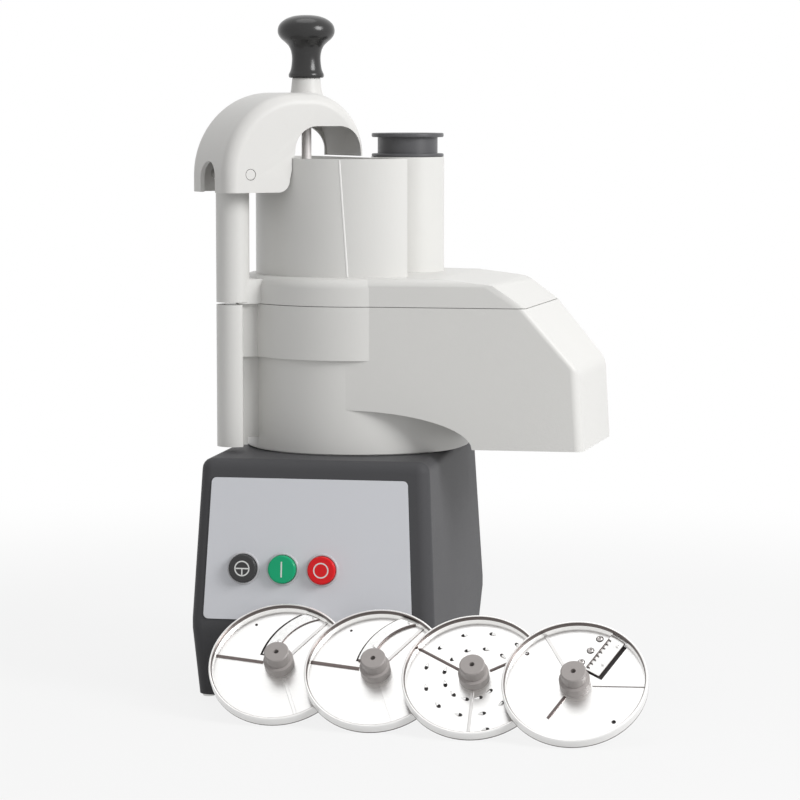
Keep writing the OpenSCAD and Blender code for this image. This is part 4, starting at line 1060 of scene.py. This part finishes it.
spiral = Pattern(
    "spiral of teeth", First="Float", Step="Float", Outer="Float", Inner="Float", Lift="Float"
)
given = spiral.given
angle = given["First"] + spiral.index * given["Step"]
reach = given["Outer"] - (given["Outer"] - given["Inner"]) * spiral.index / (given["Count"] - 1)
spiral.close(spiral.node("ShaderNodeCombineXYZ", {}, {
    "X": reach * angle.maths("COSINE", angle), "Y": reach * angle.maths("SINE", angle),
    "Z": given["Lift"]
}), angle)

rim_line = arc_line(RIM_IN + ROLL_R, RIM_TOP - ROLL_R, ROLL_R, 0, 180, 12)
grater_line = [(HUB_SEAT_R, SHEET_LOW), (RIM_IN, SHEET_LOW), (RIM_IN, 0.0), (RIM_OUT, 0.0)]
grater_line += rim_line + [(RIM_IN, SHEET_HIGH), (HUB_SEAT_R, SHEET_HIGH)]
grater_steel = disc_steel("grater disc steel", "grater")
sheet = lathe("grater_sheet", grater_line, (0, 0, 0), grater_steel, closed=True, turns=160)
sheet.data.transform(disc_frame("grater"))
pressings = [sheet]
# Painted light and shade: the ribs at 31 and 151 degrees in shaded steel, the one at 271 in lit
# steel.
for turn, finish in ((31, painted_shade_steel), (151, painted_shade_steel), (271, rib_light)):
    work = bmesh.new()
    ends = []
    for x in RIB_REACH:
        ends.append([
            work.verts.new((
                x, RIB_HALF * math.cos(math.pi * i / RIB_STEPS),
                PLATE_FACE + RIB_H * math.sin(math.pi * i / RIB_STEPS)
            ))
            for i in range(RIB_STEPS + 1)
        ])
    for i in range(RIB_STEPS):
        work.faces.new((ends[0][i + 1], ends[0][i], ends[1][i], ends[1][i + 1]))
    work.faces.new(ends[0])
    work.faces.new(ends[1][::-1])
    bmesh.ops.recalc_face_normals(work, faces=work.faces)
    work.transform(disc_frame("grater") @ Matrix.Rotation(math.radians(turn), 4, "Z"))
    rib = piece_from(work, "grater_rib", finish)
    smooth(rib.data)
    pressings.append(rib)

TOOTH_TAIL = -0.0032
TOOTH_MOUTH = 0.0008
TOOTH_HALF = 0.0015
TOOTH_H = 0.0013
TOOTH_STEPS = 8
TOOTH_SIDES = 10
GAP_HALF = (0.0016, 0.0024)
GAP_AHEAD = 0.0010
SHADE_LIFT = 0.00003
work = bmesh.new()
rows = []
for step in range(TOOTH_STEPS + 1):
    share = (step / TOOTH_STEPS) ** 2
    y = TOOTH_TAIL + (TOOTH_MOUTH - TOOTH_TAIL) * share
    swell = math.sqrt(share)
    rows.append([
        work.verts.new((
            TOOTH_HALF * swell * math.cos(math.pi * i / TOOTH_SIDES), y,
            TOOTH_H * swell * math.sin(math.pi * i / TOOTH_SIDES)
        ))
        for i in range(TOOTH_SIDES + 1)
    ])
for tail, mouth in zip(rows, rows[1:]):
    for i in range(TOOTH_SIDES):
        work.faces.new((tail[i], tail[i + 1], mouth[i + 1], mouth[i]))
bmesh.ops.remove_doubles(work, verts=work.verts, dist=POLE_WELD)
tooth = piece_from(work, "tooth_hood")
smooth(tooth.data)

# A dark ellipse of painted shade stands for the opening under each tooth hood.
work = bmesh.new()
work.faces.new([
    work.verts.new((GAP_HALF[0] * u, GAP_AHEAD + GAP_HALF[1] * v, 0.0))
    for u, v in circle_line(1.0, 24)
])
opening_shade = piece_from(work, "tooth_opening")

# Painted shade: a dark finish for sheets laid where openings are seen in shade.
deep_shade = rubber("opening in shade", (0.03, 0.026, 0.026))
teeth = {
    "Count": 26, "First": math.radians(-74), "Step": math.radians(30),
    "Outer": 0.88 * DISC_R, "Inner": 0.32 * DISC_R
}
pressings.append(spiral.make(
    "grater_hoods", "grater", Piece=tooth, Material=blade_steel, Lift=PLATE_FACE, **teeth
))
pressings.append(spiral.make(
    "grater_openings", "grater", Piece=opening_shade, Material=deep_shade, Lift=PLATE_FACE + SHADE_LIFT,
    **teeth
))
stand_for(joined("grater_plate_pressed", pressings), "grater_plate")
for pattern_piece in (tooth, opening_shade):
    bpy.data.objects.remove(pattern_piece)


# Rivets and screws
# Domed steel rivets hold the blades, two to each.
# Three dull socket screws stand in a row behind the straight knife, each on a dark disc of painted
# shadow.
KNIFE_TURN = math.radians(61)
BLADE_TOP = PLATE_FACE + 0.0011
THICK_LIFT = 0.0012
SCREW_PITCH = 0.228 * DISC_R
SCREW_SHADOW_R = 0.0030

row = Pattern("row of fittings", X="Float", Y="Float", Lift="Float", Pitch="Float", Along="Float")
given = row.given
run = row.index * given["Pitch"]
row.close(row.node("ShaderNodeCombineXYZ", {}, {
    "X": given["X"] + run * run.maths("COSINE", given["Along"]),
    "Y": given["Y"] + run * run.maths("SINE", given["Along"]), "Z": given["Lift"]
}), given["Along"])
rivet_line = flowing([(1.38, 0.0), (1.3, 0.35), (0.9, 0.62), (0.0, 0.75)], 4)
rivet = lathe("rivet_head", rivet_line, (0, 0, 0), turns=24)
knife = Matrix.Rotation(KNIFE_TURN, 4, "Z")
rivet_pairs = (
    ("thin_slicer", Vector((-0.071, 0.395, 0)), Vector((0.373, 0.818, 0)), 0.0),
    ("thick_slicer", Vector((-0.071, 0.395, 0)), Vector((0.373, 0.818, 0)), THICK_LIFT),
    ("julienne", knife @ Vector((0.463, -0.15, 0)), knife @ Vector((0.816, -0.15, 0)), 0.0),
)
heads = []
for disc, first, second, lift in rivet_pairs:
    spread = (second - first) * DISC_R
    heads.append(row.make(
        disc + "_rivets", disc, Count=2, Piece=rivet, Material=rib_light, X=first.x * DISC_R,
        Y=first.y * DISC_R, Lift=BLADE_TOP + lift, Pitch=spread.length,
        Along=math.atan2(spread.y, spread.x)
    ))
stand_for(joined("disc_rivet_heads", heads), "disc_rivets")

screw_steel = turned_steel("dull screw steel", (0.50, 0.48, 0.47), 0.34)
screw_line = [
    (2.49, 0.0), (2.4, 0.7), (2.0, 1.2), (1.5, 1.38), (1.1, 1.2), (1.0, 0.45), (0.0, 0.45)
]
screw = lathe("screw_head", screw_line, (0, 0, 0), turns=36)
first = knife @ Vector((0.353, 0.137, 0)) * DISC_R
# A dark disc of painted shadow under each screw head.
work = bmesh.new()
work.faces.new([work.verts.new((x, y, 0.0)) for x, y in circle_line(SCREW_SHADOW_R, 36)])
screw_shadow = piece_from(work, "screw_seat")
screw_row = {
    "Count": 3, "X": first.x, "Y": first.y, "Pitch": SCREW_PITCH, "Along": KNIFE_TURN
}
screw_heads = row.make(
    "screw_heads", "julienne", Piece=screw, Material=screw_steel, Lift=PLATE_FACE, **screw_row
)
screw_seats = row.make(
    "screw_seats", "julienne", Piece=screw_shadow, Material=deep_shade, Lift=PLATE_FACE + SHADE_LIFT,
    **screw_row
)
stand_for(joined("julienne_screw_heads", [screw_heads, screw_seats]), "julienne_screws")


# Julienne comb and openings
# A dark steel strip with eight fine teeth stands along the back of the straight knife; its dark
# tone is partly painted shade of the gap beside the knife.
# The slot beside the knife and the hole opposite it are dark with painted shade: a dark sheet just
# under the plate's face.
COMB_FROM = 0.31
COMB_TO = 0.86
COMB_TEETH = 8
COMB_BACK_Y = 0.0006
COMB_BACK_W = 0.0009
COMB_BACK_H = 0.0008
TICK_Y = -0.0006
TICK_SIZE = (0.0006, 0.0020)
TICK_H = 0.0009
TICK_SHARE = 0.025
FIRST_TICK = COMB_FROM + 0.012
work = bmesh.new()
slab(work, bar_line(0.0, TICK_Y, *TICK_SIZE), None, 0.0, TICK_H)
tick = piece_from(work, "comb_tooth")
first = knife @ Vector((FIRST_TICK, 0.0, 0)) * DISC_R
# Dark steel, partly painted shade of the gap along the knife.
comb_steel_and_shade = ground_blade("comb steel", (0.16, 0.145, 0.14), 0.3)
ticks = row.make(
    "comb_teeth", "julienne", Count=COMB_TEETH, Piece=tick, Material=comb_steel_and_shade, X=first.x,
    Y=first.y, Lift=BLADE_TOP, Along=KNIFE_TURN,
    Pitch=(COMB_TO - COMB_FROM - TICK_SHARE) * DISC_R / (COMB_TEETH - 1)
)
work = bmesh.new()
comb_mid = (COMB_FROM + COMB_TO) / 2 * DISC_R
comb_line = bar_line(comb_mid, COMB_BACK_Y, (COMB_TO - COMB_FROM) * DISC_R, COMB_BACK_W)
slab(work, comb_line, None, BLADE_TOP, BLADE_TOP + COMB_BACK_H)
work.transform(disc_frame("julienne") @ knife)
comb_back = piece_from(work, "comb_back", comb_steel_and_shade)
stand_for(joined("julienne_comb_row", [ticks, comb_back]), "julienne_comb")
for pattern_piece in (rivet, screw, screw_shadow, tick):
    bpy.data.objects.remove(pattern_piece)

OPENING_FOOT = 0.25
OPENING_EDGE = -0.263
OPENING_REACH = 0.925
HOLE_AT = (0.577, -0.588)
HOLE_R = 0.03
OPENING_DEPTH = 0.0011
# Painted shade: a dark sheet just under the plate's face, seen through the slot and the hole.
work = bmesh.new()
reach = math.sqrt(OPENING_REACH ** 2 - OPENING_EDGE ** 2)
plan = [
    (OPENING_FOOT, 0.0), (OPENING_FOOT, OPENING_EDGE), (reach, OPENING_EDGE), (OPENING_REACH, 0.0)
]
places = [knife @ Vector((x, y, 0.0)) for x, y in plan]
work.faces.new([work.verts.new(place * DISC_R) for place in places])
work.faces.new([
    work.verts.new(Vector((HOLE_AT[0] + HOLE_R * u, HOLE_AT[1] + HOLE_R * v, 0.0)) * DISC_R)
    for u, v in circle_line(1.0, 24)
])
work.transform(disc_frame("julienne") @ Matrix.Translation((0.0, 0.0, PLATE_FACE - OPENING_DEPTH)))
openings_shade = piece_from(work, "julienne_openings", deep_shade)
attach(openings_shade, nodes["julienne_plate"]["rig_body"])


# Studio
# Pale floor that fades into a white backdrop, broad soft lamps, and a long lens from front right.
CAMERA_TURN = math.radians(11)
CAMERA_AWAY = 2.5
CAMERA_HEIGHT = 0.48
FRAME_PIXELS = 800
PIXELS_PER_UNIT = 3015
AXIS_PIXEL_X = 358
HORIZON_PIXEL_Y = 100
SENSOR_WIDTH = 36.0
FLOOR_R = 12.0
FLOOR_GREY = (0.52, 0.52, 0.52, 1.0)
FLOOR_GLOW = 0.84
FADE_FROM = 0.45
FADE_TO = 1.2
WHITE = (1.0, 1.0, 1.0, 1.0)
AMBIENT = 0.58


def in_view(graph):
    """One for what the camera sees, also in gloss or glass, and nothing for what only lights."""
    kinds = ("Is Camera Ray", "Is Glossy Ray", "Is Transmission Ray")
    seen, shiny, through = [graph.node("ShaderNodeLightPath", {}, {}, kind) for kind in kinds]
    return seen.maths("MAXIMUM", seen.maths("MAXIMUM", seen, shiny), through)


floor_finish = Finish("studio floor")
floor_finish.surface(Base_Color=FLOOR_GREY, Roughness=0.9)
glow = floor_finish.node("ShaderNodeEmission", {}, {"Color": WHITE, "Strength": 1.0})
away = floor_finish.node(
    "ShaderNodeVectorMath", {"operation": "LENGTH"}, {0: floor_finish.coords}, "Value"
)
fade = floor_finish.node(
    "ShaderNodeMapRange", {"interpolation_type": "SMOOTHSTEP"},
    {"Value": away, "From Min": FADE_FROM, "From Max": FADE_TO, "To Min": FLOOR_GLOW, "To Max": 1.0}
)
plain = Socket(floor_finish, floor_finish.shader.outputs[0])
both = floor_finish.node(
    "ShaderNodeMixShader", {}, {0: fade * in_view(floor_finish), 1: plain, 2: glow}
)
floor_finish.fill(floor_finish.tree.nodes["Material Output"], "Surface", both)
work = bmesh.new()
bmesh.ops.create_circle(work, cap_ends=True, radius=FLOOR_R, segments=96)
piece_from(work, "studio_floor", floor_finish.material)

world = bpy.data.worlds.new("studio")
scene.world = world
world.use_nodes = True
sky = Graph(world.node_tree)
background = world.node_tree.nodes["Background"]
sky.fill(background, "Color", WHITE)
sky.fill(background, "Strength", AMBIENT + (1.0 - AMBIENT) * in_view(sky))


def soft_lamp(name, place, target, size, power):
    lamp = bpy.data.lights.new(name, "AREA")
    lamp.shape = "DISK"
    lamp.size = size
    lamp.energy = power
    holder = bpy.data.objects.new(name, lamp)
    scene.collection.objects.link(holder)
    holder.location = place
    holder.rotation_mode = "QUATERNION"
    holder.rotation_quaternion = (Vector(target) - Vector(place)).to_track_quat("-Z", "Y")


soft_lamp("key lamp", (2.04, -0.95, 1.34), (0.0, 0.0, 0.28), 1.2, 41)
soft_lamp("top lamp", (-0.1, 0.3, 2.4), (0.0, 0.0, 0.3), 1.4, 7)

camera = bpy.data.objects.new("camera", bpy.data.cameras.new("camera"))
scene.collection.objects.link(camera)
camera.location = (
    CAMERA_AWAY * math.sin(CAMERA_TURN), -CAMERA_AWAY * math.cos(CAMERA_TURN), CAMERA_HEIGHT
)
pitch = math.atan((FRAME_PIXELS / 2 - HORIZON_PIXEL_Y) / PIXELS_PER_UNIT)
yaw = math.atan((FRAME_PIXELS / 2 - AXIS_PIXEL_X) / PIXELS_PER_UNIT)
camera.rotation_euler = (math.pi / 2 - pitch, 0.0, CAMERA_TURN - yaw)
camera.data.sensor_width = SENSOR_WIDTH
camera.data.lens = SENSOR_WIDTH * PIXELS_PER_UNIT / FRAME_PIXELS
scene.camera = camera
scene.view_settings.view_transform = "Standard"

bpy.context.view_layer.update()
